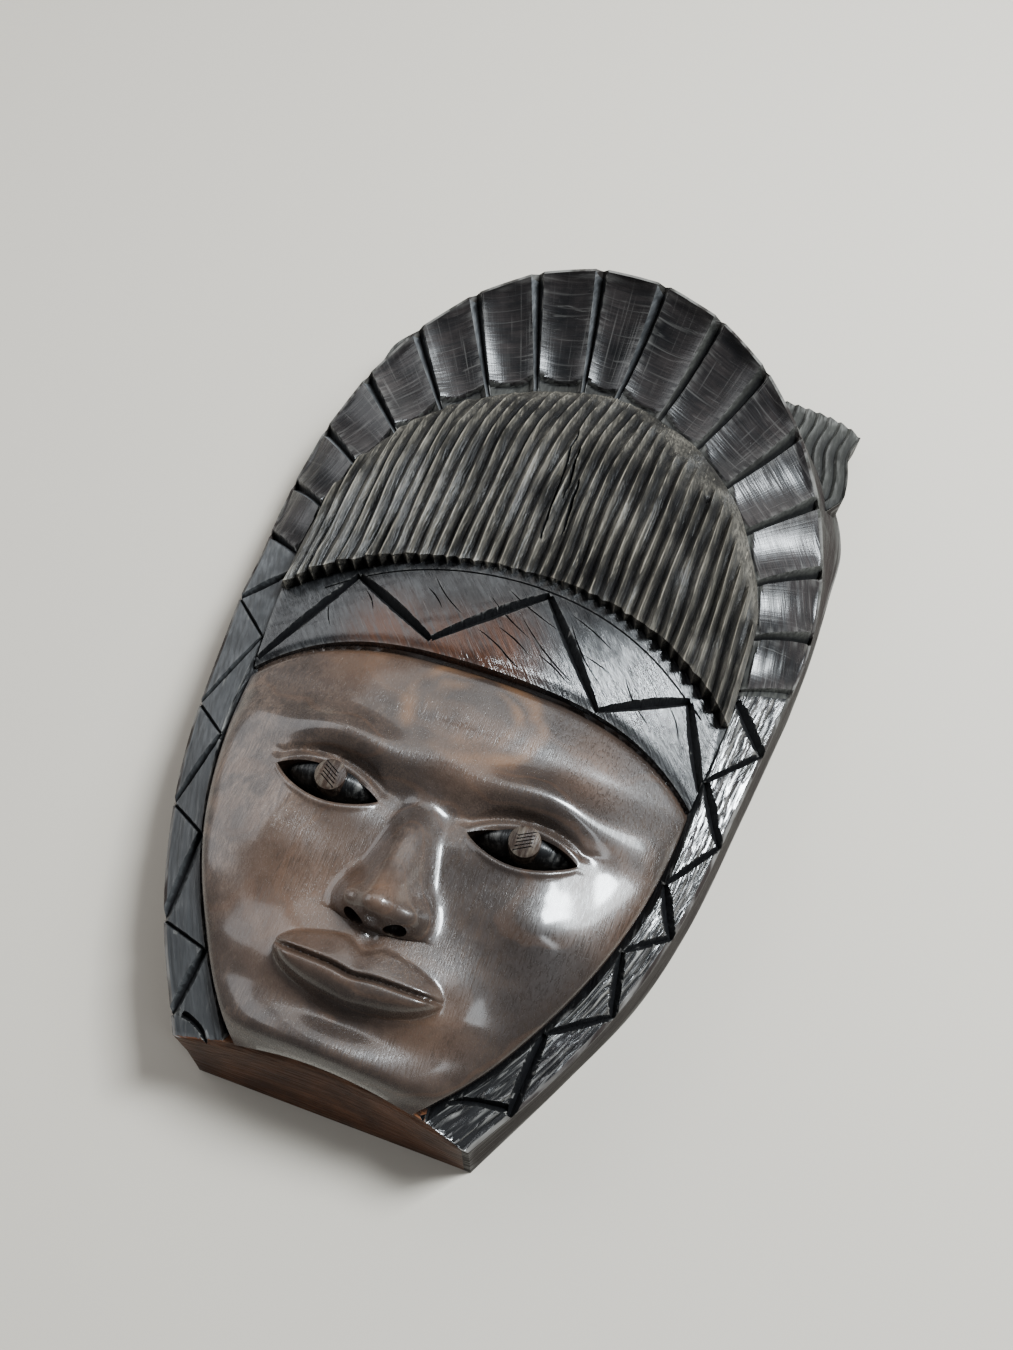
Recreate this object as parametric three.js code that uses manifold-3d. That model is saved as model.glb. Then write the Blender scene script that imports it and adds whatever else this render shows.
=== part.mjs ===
// Wall mask carved from one block of dark wood, lying on its back.
// Millimetres. +Z comes out of the face, +Y runs toward the crown, +X is the viewer's right.
import * as THREE from "three";
import { mergeVertices } from "three/addons/utils/BufferGeometryUtils.js";
import Module from "manifold-3d";

const wasm = await Module();
wasm.setup();

// Crown: a fan of scooped panels on an oval rim
const RIM_HALF_WIDTH = 104.5;
const RIM_RISE = 109;
const RIM_CENTRE_Y = 45;
const RIM_SIDE_Z = 20;
const RIM_TOP_Z = 61;
const PANEL_ANGLE = 13.7;
const PANELS_PER_SIDE = 7.5;
const LIP_WIDTH = 1.8;
const SCOOP_DEPTH = 1.7;
const GROOVE_HALF_WIDTH = 0.092;
const GROOVE_DEPTH = 4.2;
const GROOVE_NOTCH = 2;

// Valley between the crown and the cap
const VALLEY_HALF_WIDTH = 85;
const VALLEY_RISE = 98;
const VALLEY_CENTRE_Y = 18;
const VALLEY_SIDE_Z = 30;
const VALLEY_TOP_Z = 35;
const FLOOR_Z = 26;
const FLOOR_SHRINK = 0.93;

// Ribbed cap
const CAP_HALF_WIDTH = 83.4;
const CAP_EDGE_Y = 22.3;
const CAP_EDGE_DROP = 26;
const CAP_TOP_Z = 56;
const CAP_SIDE_Z = 33;
const CAP_ROOT_Z = 18;
const RIB_COUNT = 36;
const RIB_DEPTH = 2.4;
const RIB_LEAN = 0.06;

// Headband
const BAND_HALF_WIDTH = 79.2;
const BAND_EDGE_Y = -15;
const BAND_EDGE_DROP = 20;
const BAND_TOP_Z = 50.5;
const BAND_END_Z = 34;
const BAND_SWELL = 1.2;
const BAND_LAP = 4;
const BAND_ROOT_Z = 20;

// Face
const FACE_HALF_WIDTH = 80.5;
const FACE_WIDEST_Y = -20;
const FACE_TAPER = 168;
const FACE_TOP_Y = -8;
const FACE_END_Y = -151;
const FACE_ROOT_Z = 22;
const CHEEK_RISE = 4.6;
const SOCKET_DEPTH = 6.4;
const BROW_RISE = 3.4;
const EYE_X = 33;
const EYE_Y = -69;
const EYE_HALF_LENGTH = 18;
const EYE_UPPER_BOW = 9;
const EYE_LOWER_BOW = 12.5;
const BALL_RADII = [17.5, 5.8, 11.4];
const BALL_OFFSET_Y = 2.8;
const BALL_Z = 37;
const IRIS_RADIUS = 5.6;
const IRIS_HEIGHT = 6;
const IRIS_Z = 46.4;
const NOSE_ROOT_Y = -60;
const NOSE_BASE_Y = -106;
const NOSE_HALF_WIDTH = 17;
const NOSE_ROOT_HALF_WIDTH = 7;
const NOSE_RISE = 19.3;
const WING_RISE = 6.5;
const MOUTH_Y = -121;
const MOUTH_HALF_WIDTH = 27;
const UPPER_LIP_HEIGHT = 8;
const LOWER_LIP_HEIGHT = 9.5;
const LIP_SWELL = 4.5;
const RELIEF_ROOT_Z = 30;

// Chin cut
const CHIN_HALF_WIDTH = 46.8;
const CHIN_FRONT_Y = -155;
const CHIN_FRONT_BOW = 5.5;
const CHIN_BACK_Y = -162.3;
const CHIN_Z = 37;
const CHIN_INNER_Z = 40;
const LEFT_FULLNESS = 2.2;

// Hair block behind the crown
const HAIR_TOP_Y = 158;
const HAIR_BASE_Y = 92;
const HAIR_BASE_Z = 20;
const HAIR_EDGE_Z = 10;
const HAIR_RIBS = 44;
const HAIR_RIB_DEPTH = 1.3;
const HAIR_LEFT_SLOPE = 6;

// Hollow in the back
const HOLLOW_HALF_WIDTH = 81;
const HOLLOW_HALF_LENGTH = 117;
const HOLLOW_CENTRE_Y = -8;
const HOLLOW_DEPTH = 38;
const HOLLOW_TAPER = 0.16;

// V cuts of the zigzags
const BAND_CUT_WIDTH = 7;
const SIDE_CUT_WIDTH = 5.6;
const CUT_TIP_WIDTH = 0.3;
const BAND_CUT_DEPTH = 3.2;
const SIDE_CUT_DEPTH = 3.4;

const BELOW_BACK_Z = -5;
const BODY_MIDDLE_Y = -20;
const MIDDLE_Y = -2.6;

const clamp = THREE.MathUtils.clamp;
const lerp = THREE.MathUtils.lerp;
const smoothstep = THREE.MathUtils.smoothstep;
const bell = (d) => Math.exp(-d * d);
const mix = (a, b, t) => [lerp(a[0], b[0], t), lerp(a[1], b[1], t), lerp(a[2], b[2], t)];

function solid(geometry) {
  const bare = geometry.clone();
  bare.deleteAttribute("normal");
  bare.deleteAttribute("uv");
  const merged = mergeVertices(bare, 1e-4);
  return new wasm.Manifold(new wasm.Mesh({
    numProp: 3,
    vertProperties: new Float32Array(merged.attributes.position.array),
    triVerts: new Uint32Array(merged.index.array),
  }));
}

// A box whose points are moved to place(u, v, w), each running from 0 to 1
function warpedBlock(nu, nv, nw, place) {
  const box = new THREE.BoxGeometry(1, 1, 1, nu, nv, nw);
  const points = box.attributes.position;
  for (let i = 0; i < points.count; i++) {
    const spot = place(points.getX(i) + 0.5, points.getY(i) + 0.5, points.getZ(i) + 0.5);
    points.setXYZ(i, ...spot);
  }
  return solid(box);
}

// A closed turned shape whose rings are moved to place(station, ring)
function ringSolid(stations, rings, place) {
  const profile = [];
  for (let j = 0; j < rings; j++) {
    const onAxis = j === 0 || j === rings - 1;
    profile.push(new THREE.Vector2(onAxis ? 0 : 1, j));
  }
  const turned = new THREE.LatheGeometry(profile, stations);
  const points = turned.attributes.position;
  for (let i = 0; i < points.count; i++) {
    const station = Math.floor(i / rings) % stations;
    points.setXYZ(i, ...place(station, i % rings));
  }
  return solid(turned);
}

// A V cut that follows a row of points on the surface
function vCut(path, width, depth) {
  const spots = path.map((p) => new THREE.Vector3(...p));
  const last = spots.length - 1;
  return warpedBlock(last, 1, 1, (u, v, w) => {
    const k = Math.round(u * last);
    const before = spots[Math.max(k - 1, 0)];
    const after = spots[Math.min(k + 1, last)];
    const along = after.clone().sub(before).setZ(0).normalize();
    const side = (v - 0.5) * (w > 0.5 ? width : CUT_TIP_WIDTH);
    const height = w > 0.5 ? depth : -depth;
    return [spots[k].x - along.y * side, spots[k].y + along.x * side, spots[k].z + height];
  });
}

const signed = (side, p) => [side * p[0], p[1], p[2]];

// The left flank stands a little fuller than the right one below the crown
function flank(side, p) {
  const extra = side < 0 ? LEFT_FULLNESS * smoothstep(-p[1], -18, 12) : 0;
  return signed(side, [p[0] + extra, p[1], p[2]]);
}

// Outlines. q counts panels from the middle of the crown, s runs up the side from the chin.
function rimOnCrown(q) {
  const angle = THREE.MathUtils.degToRad(90 - PANEL_ANGLE * q);
  const x = RIM_HALF_WIDTH * Math.cos(angle);
  const y = RIM_CENTRE_Y + RIM_RISE * Math.sin(angle);
  const height = Math.max(0, 1 - (x / RIM_HALF_WIDTH) ** 2) ** 0.8;
  return [x, y, lerp(RIM_SIDE_Z, RIM_TOP_Z, height)];
}

function valleyOnCrown(q) {
  const degrees = q < 0.5 ? 90 - 9 * q : 85.5 - 12.6 * (q - 0.5);
  const angle = THREE.MathUtils.degToRad(degrees);
  const x = VALLEY_HALF_WIDTH * Math.cos(angle);
  const y = VALLEY_CENTRE_Y + VALLEY_RISE * Math.sin(angle);
  return [x, y, lerp(VALLEY_SIDE_Z, VALLEY_TOP_Z, Math.max(0, Math.sin(angle)))];
}

function curveThrough(points) {
  return new THREE.CatmullRomCurve3(points.map((p) => new THREE.Vector3(...p)));
}

const baseCrownCurve = curveThrough([
  [0, 155, 0], [42, 152, 0], [73, 143, 0], [98, 124, 0],
  [108.5, 101, 0], [109, 76, 0], [108.2, 48, 0], [105.8, 21, 0],
]);
const rimSideCurve = curveThrough([
  [46.8, -155, 36], [65.4, -125, 36], [79.4, -95, 33],
  [88.3, -65, 31], [95.7, -20, 27.5], rimOnCrown(PANELS_PER_SIDE),
]);
const baseSideCurve = curveThrough([
  [47.8, -161.5, 0], [67.3, -126.5, 0], [82.7, -96, 0],
  [92, -65, 0], [99.6, -20, 0], [105.8, 21, 0],
]);
const innerSideCurve = curveThrough([
  [34, -152, 40], [55.5, -123, 39.5], [70.5, -93, 38],
  [79, -60, 35.5], [82, -22, 33], valleyOnCrown(PANELS_PER_SIDE),
]);

const chinFrontY = (x) => {
  const bow = Math.max(0, 1 - (x / CHIN_HALF_WIDTH) ** 2) ** 1.5;
  return CHIN_FRONT_Y + CHIN_FRONT_BOW * bow;
};

// Stations around the whole outline, each with its base, rim, valley and panel data
function crownStation(side, q, groove, across) {
  return {
    base: signed(side, baseCrownCurve.getPoint(clamp(q / PANELS_PER_SIDE, 0, 1)).toArray()),
    rim: signed(side, rimOnCrown(q)),
    inner: signed(side, valleyOnCrown(q)),
    crown: true,
    groove,
    scoop: 4 * across * (1 - across),
  };
}

function crownStations() {
  const list = [];
  const add = (q, groove, across) => {
    const side = q < 0 ? -1 : 1;
    list.push(crownStation(side, Math.abs(q), groove, across));
  };
  for (let k = -PANELS_PER_SIDE; k <= PANELS_PER_SIDE; k++) {
    if (k > -PANELS_PER_SIDE) {
      add(k - GROOVE_HALF_WIDTH, false, 0);
    }
    add(k, true, 0);
    if (k < PANELS_PER_SIDE) {
      add(k + GROOVE_HALF_WIDTH, false, 0);
      add(k + 0.3, false, 0.26);
      add(k + 0.7, false, 0.74);
    }
  }
  return list.reverse();
}

function sideStations(side) {
  const steps = 12;
  const list = [];
  for (let i = 0; i < steps; i++) {
    const s = i / steps;
    list.push({
      base: flank(side, baseSideCurve.getPoint(s).toArray()),
      rim: flank(side, rimSideCurve.getPoint(s).toArray()),
      inner: signed(side, innerSideCurve.getPoint(s).toArray()),
      crown: false,
    });
  }
  return list;
}

function chinStations() {
  const steps = 8;
  const list = [];
  for (let i = 1; i < steps; i++) {
    const x = lerp(-CHIN_HALF_WIDTH - LEFT_FULLNESS, CHIN_HALF_WIDTH, i / steps);
    list.push({
      base: [x * 1.02, CHIN_BACK_Y + 0.025 * x, 0],
      rim: [x, chinFrontY(x), CHIN_Z],
      inner: [x * 0.72, chinFrontY(x) + 3.5, CHIN_INNER_Z],
      crown: false,
    });
  }
  return list;
}

function body() {
  const stations = [
    ...chinStations(),
    ...sideStations(1),
    ...crownStations(),
    ...sideStations(-1).reverse(),
  ];
  const across = [0, 0.3, 0.65, 1];
  const rings = across.length + 5;
  return ringSolid(stations.length, rings, (i, j) => {
    const { base, rim, inner, crown, groove, scoop } = stations[i];
    if (j === 0) {
      return [0, BODY_MIDDLE_Y, 0];
    }
    if (j === 1) {
      return base;
    }
    if (j === rings - 1) {
      return [0, BODY_MIDDLE_Y, FLOOR_Z];
    }
    if (j === rings - 2) {
      return [inner[0] * FLOOR_SHRINK, inner[1] * FLOOR_SHRINK, FLOOR_Z];
    }
    if (j === 2) {
      return groove ? [rim[0], rim[1], rim[2] - GROOVE_NOTCH] : rim;
    }
    const lip = LIP_WIDTH / Math.hypot(rim[0] - inner[0], rim[1] - inner[1]);
    const t = lerp(lip, 1, across[j - 3]);
    const spot = mix(rim, inner, t);
    if (crown) {
      const rise = (1 - t) * 0.3 + (1 - t) ** 2 * 0.7;
      spot[2] = lerp(inner[2], rim[2], t <= lip ? 1 : rise);
      spot[2] -= SCOOP_DEPTH * scoop * (t <= lip ? 0.3 : 1);
      spot[2] -= groove ? GROOVE_DEPTH * (1 - 0.45 * t) : 0;
    }
    return spot;
  });
}

// Cap
const capEdgeY = (x) => {
  const out = Math.min(1, Math.abs(x) / CAP_HALF_WIDTH);
  return CAP_EDGE_Y - CAP_EDGE_DROP * out ** 2.5 + 0.05 * x * (1 - out * out);
};
const valleyY = (x) => {
  const reach = Math.max(0.04, 1 - (x / VALLEY_HALF_WIDTH) ** 2);
  return VALLEY_CENTRE_Y + VALLEY_RISE * Math.sqrt(reach);
};

function capHeight(x, y) {
  const widest = y > VALLEY_CENTRE_Y
    ? VALLEY_HALF_WIDTH * Math.sqrt(Math.max(0, 1 - ((y - VALLEY_CENTRE_Y) / VALLEY_RISE) ** 2))
    : VALLEY_HALF_WIDTH;
  const fall = Math.max(0, 1 - (x / Math.max(widest, 1)) ** 2) ** 0.6;
  const crest = CAP_TOP_Z - 3.5 * bell((y - CAP_EDGE_Y) / 16) - 20 * smoothstep(y, 62, 118) ** 1.4;
  return lerp(CAP_SIDE_Z, crest, fall);
}

function cap() {
  const rows = 5;
  return warpedBlock(2 * RIB_COUNT, rows, 1, (u, v, w) => {
    const x = lerp(-CAP_HALF_WIDTH, CAP_HALF_WIDTH, u);
    const y = lerp(capEdgeY(x), valleyY(x), v);
    const crest = Math.round(u * 2 * RIB_COUNT) % 2 === 1;
    const lean = RIB_LEAN * (y - CAP_EDGE_Y) * (1 - Math.abs(x) / CAP_HALF_WIDTH);
    const top = capHeight(x, y) + (crest ? RIB_DEPTH : 0) * (v === 1 ? 0.3 : 1);
    return [x + lean, y, w > 0.5 ? top : CAP_ROOT_Z];
  });
}

// Headband
const bandLowY = (x) => BAND_EDGE_Y - BAND_EDGE_DROP * (Math.abs(x) / BAND_HALF_WIDTH) ** 3.5;
const bandHeight = (x) => {
  const fall = 1 - Math.min(1, Math.abs(x) / FACE_HALF_WIDTH) ** 1.7;
  return lerp(BAND_END_Z, BAND_TOP_Z, fall);
};

function headband() {
  return warpedBlock(20, 3, 1, (u, v, w) => {
    const across = 2 * u - 1;
    const low = [across * BAND_HALF_WIDTH, bandLowY(across * BAND_HALF_WIDTH)];
    const high = [across * CAP_HALF_WIDTH, capEdgeY(across * CAP_HALF_WIDTH) + BAND_LAP];
    const x = lerp(low[0], high[0], v);
    const y = lerp(low[1], high[1], v);
    const swell = BAND_SWELL * Math.sin(Math.PI * Math.min(v * 1.1, 1));
    return [x, y, w > 0.5 ? bandHeight(x) + swell : BAND_ROOT_Z];
  });
}

// Face
const faceHalf = (y) => {
  const down = Math.max(0, FACE_WIDEST_Y - y) / FACE_TAPER;
  return FACE_HALF_WIDTH * (1 - down ** 2.3);
};

// Heights of the face's middle line, from the hairline down to the chin
function midline(y) {
  const stops = [
    [-5, 45.5], [-38, 51], [-52, 53.5], [-68, 50], [-95, 50.2],
    [-122, 54], [-134, 51.5], [-143, 52], [-153, 43],
  ];
  let k = 1;
  while (k < stops.length - 1 && y < stops[k][0]) {
    k++;
  }
  const t = clamp((y - stops[k - 1][0]) / (stops[k][0] - stops[k - 1][0]), 0, 1);
  return lerp(stops[k - 1][1], stops[k][1], smoothstep(t, 0, 1));
}

// The plain face: dome, cheekbones, eye sockets and brows
function faceHeight(x, y) {
  const ax = Math.abs(x);
  const across = Math.min(1, ax / faceHalf(y));
  const full = smoothstep(-y, 12, 80);
  const edge = lerp(31, 43, smoothstep(-y, 12, 112)) - 2 * smoothstep(-y, 125, 152);
  const dome = (1 - across ** lerp(1.8, 2.7, full)) ** lerp(0.95, 0.52, full);
  const cheek = CHEEK_RISE * bell((ax - 44) / 17) * bell((y + 90) / 14);
  const socket = SOCKET_DEPTH * bell((ax - 28) / 16) * bell((y + 66) / 8);
  const brow = BROW_RISE * bell((ax - 31) / 21) * bell((y + 53 + 0.005 * (ax - 28) ** 2) / 6);
  return lerp(edge, midline(y), dome) + cheek - socket + brow;
}

function face() {
  return warpedBlock(26, 30, 1, (u, v, w) => {
    const t = 2 * u - 1;
    const y = lerp(FACE_END_Y, FACE_TOP_Y, v);
    const x = faceHalf(y) * Math.sign(t) * (1 - (1 - Math.abs(t)) ** 1.35);
    const end = Math.max(0, chinFrontY(x) + 1.2 - y);
    return [x, y + end, w > 0.5 ? faceHeight(x, y) : FACE_ROOT_Z];
  });
}

// Nose: widens and rises from the root, with wings beside the tip
function nose() {
  return warpedBlock(10, 8, 1, (u, v, w) => {
    const run = 1 - v;
    const y = lerp(NOSE_ROOT_Y, NOSE_BASE_Y, run);
    const half = lerp(NOSE_ROOT_HALF_WIDTH, NOSE_HALF_WIDTH, run ** 1.8);
    const across = Math.abs(2 * u - 1);
    const x = (2 * u - 1) * half;
    const ridge = NOSE_RISE * Math.min(run, 0.86) ** 1.1;
    const slope = 1 - smoothstep(across, 0.12, lerp(1, 0.72, run));
    const wing = WING_RISE * bell((across - 0.72) / 0.22) * smoothstep(run, 0.72, 0.9);
    const under = 1 - 0.3 * smoothstep(run, 0.9, 1);
    const top = faceHeight(x, y) - 0.6 * (across === 1) + Math.max(ridge * slope, wing) * under;
    return [x, y - (w > 0.5 ? 0 : 2), w > 0.5 ? top : RELIEF_ROOT_Z];
  });
}

// Lips: a bowed upper lip and a fuller lower lip that meet on the mouth line
function lip(upper) {
  return warpedBlock(10, 3, 1, (u, v, w) => {
    const t = 2 * u - 1;
    const out = upper ? v : 1 - v;
    const open = Math.sqrt(Math.max(0, 1 - t * t));
    const x = MOUTH_HALF_WIDTH * t;
    const height = upper ? UPPER_LIP_HEIGHT - 1.8 * bell(t / 0.17) : -LOWER_LIP_HEIGHT;
    const y = MOUTH_Y + open * height * out + (upper ? 0.25 : -0.25);
    const curl = upper ? lerp(1, -0.1, out) : Math.sin(Math.PI * (0.18 + 0.82 * out));
    const top = faceHeight(x, y) + LIP_SWELL * open * curl - 0.4;
    return [x, y, w > 0.5 ? top : RELIEF_ROOT_Z];
  });
}

// Eyes: an almond opening with a carved eyeball that leaves a slit below it
function almond(side) {
  const outline = new THREE.Shape();
  outline.moveTo(-EYE_HALF_LENGTH, 0);
  outline.quadraticCurveTo(0, EYE_UPPER_BOW, EYE_HALF_LENGTH, 0);
  outline.quadraticCurveTo(0, -EYE_LOWER_BOW, -EYE_HALF_LENGTH, 0);
  const options = { depth: RIM_TOP_Z, bevelEnabled: false, curveSegments: 8 };
  const cut = new THREE.ExtrudeGeometry(outline, options);
  cut.translate(side * EYE_X, EYE_Y, CAP_ROOT_Z);
  return solid(cut);
}

function eyeball(side) {
  const ball = new THREE.SphereGeometry(1, 12, 8);
  ball.scale(...BALL_RADII);
  ball.translate(side * EYE_X, EYE_Y + BALL_OFFSET_Y, BALL_Z);
  const iris = new THREE.CylinderGeometry(IRIS_RADIUS, IRIS_RADIUS, IRIS_HEIGHT, 12);
  iris.rotateX(Math.PI / 2);
  iris.translate(side * EYE_X, EYE_Y + BALL_OFFSET_Y, IRIS_Z);
  return solid(ball).add(solid(iris));
}

// Hair block behind the crown, ribbed along its length
function hairSide(y, side) {
  if (side < 0) {
    return 96 + 6 * smoothstep(y, 98, 112) - 10 * smoothstep(y, 126, 152);
  }
  return 95 + 7.4 * smoothstep(y, 98, 112) - 2 * bell((y - 134) / 9) + smoothstep(y, 140, 148);
}

function hairBlock() {
  return warpedBlock(2 * HAIR_RIBS, 2, 1, (u, v, w) => {
    const t = 2 * u - 1;
    const side = t < 0 ? -1 : 1;
    const top = HAIR_TOP_Y - 4 * t * t - (side < 0 ? 8 : 6.6) * t ** 12;
    const y = lerp(HAIR_BASE_Y, top, v);
    const inset = side < 0 && w > 0.5 ? HAIR_LEFT_SLOPE : 0;
    const crest = Math.round(u * 2 * HAIR_RIBS) % 2 === 1;
    const height = lerp(HAIR_BASE_Z, HAIR_EDGE_Z, v) + (crest ? HAIR_RIB_DEPTH : 0);
    return [t * (hairSide(y, side) - inset), y, w > 0.5 ? height : 0];
  });
}

// Zigzag cuts on the headband and on the two side bands
function bandCuts() {
  const turns = [[-75, -26], [-55, 7], [-20, -11], [13, 17], [41, -16], [69, 0], [81, -28]];
  const cuts = [];
  for (let i = 1; i < turns.length; i++) {
    const path = [];
    for (let k = 0; k <= 3; k++) {
      const x = lerp(turns[i - 1][0], turns[i][0], k / 3);
      const y = lerp(turns[i - 1][1], turns[i][1], k / 3);
      path.push([x, y, bandHeight(x) + BAND_SWELL]);
    }
    cuts.push(vCut(path, BAND_CUT_WIDTH, BAND_CUT_DEPTH));
  }
  return cuts;
}

function sideSpot(curve, y) {
  let low = 0;
  let high = 1;
  for (let i = 0; i < 20; i++) {
    const half = (low + high) / 2;
    if (curve.getPoint(half).y < y) {
      low = half;
    } else {
      high = half;
    }
  }
  return curve.getPoint(low).toArray();
}

function sideCuts() {
  const turns = {
    "-1": { outer: [-9, -53, -89, -125, -150], inner: [5, -23, -62, -96, -129] },
    "1": { outer: [-5, -42, -76, -105, -142], inner: [10, -23, -61, -86, -117] },
  };
  const cuts = [];
  for (const side of [-1, 1]) {
    const { outer, inner } = turns[side];
    const ends = [];
    for (let i = 0; i < outer.length; i++) {
      ends.push(signed(side, sideSpot(innerSideCurve, inner[i])));
      ends.push(flank(side, sideSpot(rimSideCurve, outer[i])));
    }
    for (let i = 1; i < ends.length; i++) {
      cuts.push(vCut([ends[i - 1], ends[i]], SIDE_CUT_WIDTH, SIDE_CUT_DEPTH));
    }
  }
  return cuts;
}

// Hollow: an egg-shaped bowl, narrower toward the chin
function hollow() {
  const stations = 36;
  const rings = 8;
  return ringSolid(stations, rings, (i, j) => {
    if (j === 0 || j === rings - 1) {
      return [0, HOLLOW_CENTRE_Y, j === 0 ? BELOW_BACK_Z : HOLLOW_DEPTH];
    }
    const angle = (2 * Math.PI * i) / stations;
    const t = j === 1 ? 1 : Math.cos((j - 2) / (rings - 3) * Math.PI * 0.5);
    const x = HOLLOW_HALF_WIDTH * Math.cos(angle) * (1 + HOLLOW_TAPER * Math.sin(angle)) * t;
    const y = HOLLOW_CENTRE_Y + HOLLOW_HALF_LENGTH * Math.sin(angle) * t;
    return [x, y, j === 1 ? BELOW_BACK_Z : HOLLOW_DEPTH * (1 - t ** 3) ** 0.6];
  });
}

function carve() {
  let wood = body();
  for (const piece of [hairBlock(), face(), nose(), lip(true), lip(false), headband(), cap()]) {
    wood = wood.add(piece);
  }
  for (const cut of [...bandCuts(), ...sideCuts(), almond(-1), almond(1)]) {
    wood = wood.subtract(cut);
  }
  wood = wood.subtract(hollow());
  return wood.add(eyeball(-1)).add(eyeball(1));
}

function toGeometry(wood) {
  const mesh = wood.getMesh();
  const geometry = new THREE.BufferGeometry();
  geometry.setAttribute("position", new THREE.BufferAttribute(new Float32Array(mesh.vertProperties), 3));
  geometry.setIndex(new THREE.BufferAttribute(new Uint32Array(mesh.triVerts), 1));
  geometry.computeVertexNormals();
  geometry.translate(0, -MIDDLE_Y, 0);
  return geometry;
}

const darkWood = new THREE.MeshStandardMaterial({ color: 0x2b211c, roughness: 0.42, metalness: 0 });
const mask = new THREE.Mesh(toGeometry(carve()), darkWood);
mask.name = "mask";

const root = new THREE.Group();
root.add(mask);

export default root;
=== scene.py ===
import math
import bmesh
import bpy
from mathutils import Euler, Matrix, Vector, noise


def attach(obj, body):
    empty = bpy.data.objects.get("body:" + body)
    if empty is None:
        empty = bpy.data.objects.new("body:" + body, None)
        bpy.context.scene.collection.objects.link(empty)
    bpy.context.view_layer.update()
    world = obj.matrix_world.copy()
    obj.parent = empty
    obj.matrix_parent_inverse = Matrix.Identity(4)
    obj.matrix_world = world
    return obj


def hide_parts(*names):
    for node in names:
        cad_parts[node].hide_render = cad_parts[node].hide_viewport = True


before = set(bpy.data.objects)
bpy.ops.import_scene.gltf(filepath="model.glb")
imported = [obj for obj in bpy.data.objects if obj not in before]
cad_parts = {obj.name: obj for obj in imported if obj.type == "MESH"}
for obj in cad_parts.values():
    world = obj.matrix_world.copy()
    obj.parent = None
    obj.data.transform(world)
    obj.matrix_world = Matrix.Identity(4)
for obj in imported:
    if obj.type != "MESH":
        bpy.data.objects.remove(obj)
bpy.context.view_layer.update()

# Sizes in millimetres: X to the viewer's right, Y toward the crown, Z out of the face
MM = 0.001
MIDDLE_Y = -2.6
CARVING_MIDDLE = (0, -MIDDLE_Y, 0)

# Crown: a fan of scooped panels on an oval rim
RIM_HALF_WIDTH = 104.5
RIM_RISE = 109
RIM_CENTRE_Y = 45
RIM_SIDE_Z = 20
RIM_TOP_Z = 61
PANEL_ANGLE = 13.7
PANELS_PER_SIDE = 7.5
LIP_WIDTH = 1.1
SCOOP_DEPTH = 1.7
GROOVE_HALF_WIDTH = 0.102
GROOVE_DEPTH = 4.2
PANEL_COLUMNS = 9

# Valley between the crown and the cap
VALLEY_HALF_WIDTH = 85
VALLEY_RISE = 98
VALLEY_CENTRE_Y = 18
VALLEY_SIDE_Z = 30
VALLEY_TOP_Z = 35
FLOOR_Z = 26
FLOOR_SHRINK = 0.93

# Ribbed cap
CAP_HALF_WIDTH = 83.4
CAP_EDGE_Y = 22.3
CAP_EDGE_DROP = 26
CAP_TOP_Z = 56
CAP_SIDE_Z = 33
CAP_ROOT_Z = 18
RIB_COUNT = 36
RIB_DEPTH = 4.3
RIB_SINK = 0.9
RIB_LEAN = 0.06
KNOT = (53.1, 74.5)
CRACK_WIDTH = 0.4
CRACK_DEPTH = 4.0

# Headband
BAND_HALF_WIDTH = 79.2
BAND_EDGE_Y = -15
BAND_EDGE_DROP = 20
BAND_TOP_Z = 50.5
BAND_END_Z = 34
BAND_SWELL = 1.2
BAND_LAP = 4
BAND_ROOT_Z = 20
BAND_TURNS = ((-79, -32), (-55, 7), (-20, -11), (13, 17), (41, -16), (69, 0), (81, -28))
BAND_CUT_WIDTH = 1.4
BAND_CUT_DEPTH = 3.0
BAND_CUT_LIFT = 0.9

# Face
FACE_HALF_WIDTH = 80.5
FACE_WIDEST_Y = -20
FACE_TAPER = 164
FACE_TOP_Y = -8
FACE_ROOT_Z = 22
FACE_GAP = 0.9
EYE_X = 33
EYE_Y = -69
EYE_HALF_LENGTH = 18
EYE_RISE = 5.4
EYE_DROP = 6.6
EYE_CUT_Z = (18, 80)
BALL_RADII = (17.6, 5.8, 12.4)
BALL_PLACE = (EYE_Y + 2.8, 37)
IRIS_PLACE = (EYE_Y + 2.6, 46.8)
IRIS_RADII = (5.7, 5.1)
IRIS_HEIGHT = 5.6
IRIS_STEPS = ((0.9, 0.5), (2.2, 0.35))
HATCH_SIZE = (5.6, 0.35, 1.2)
HATCH_GAP = 1.2
HATCH_Z = 50.2
NOSE_ROOT_Y = -58
NOSE_TIP_Y = -100
NOSE_RISE = 14.4
MOUTH_Y = -121
MOUTH_HALF_WIDTH = 27
NOSTRIL_RADII = (3.6, 3.2, 4.6)
NOSTRIL_PLACE = (6.6, -106.2, 57)

# Chin cut
CHIN_HALF_WIDTH = 46.8
CHIN_FRONT_Y = -155
CHIN_FRONT_BOW = 5.5
CHIN_BACK_Y = -162.3
CHIN_Z = 37
CHIN_INNER_Z = 40
CHIN_CUT_WIDTH = 1.1
CHIN_CUT_DEPTH = 2.6
CHIN_CUTS = (
    ((-52, -148.4, 36), (-46, -148.6, 38), (-40, -151, 39.2), (-36, -155, 40)),
    ((53.7, -140.3, 36), (43, -142, 38.6), (36, -145, 39.6), (31, -151, 40)),
)
LEFT_FULLNESS = 2.2

# Hair block behind the crown
HAIR_TOP_Y = 158
HAIR_BASE_Y = 92
HAIR_BASE_Z = 20
HAIR_EDGE_Z = 10
HAIR_RIBS = 44
HAIR_LAYER = 1.5
HAIR_LEFT_SLOPE = 6

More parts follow.
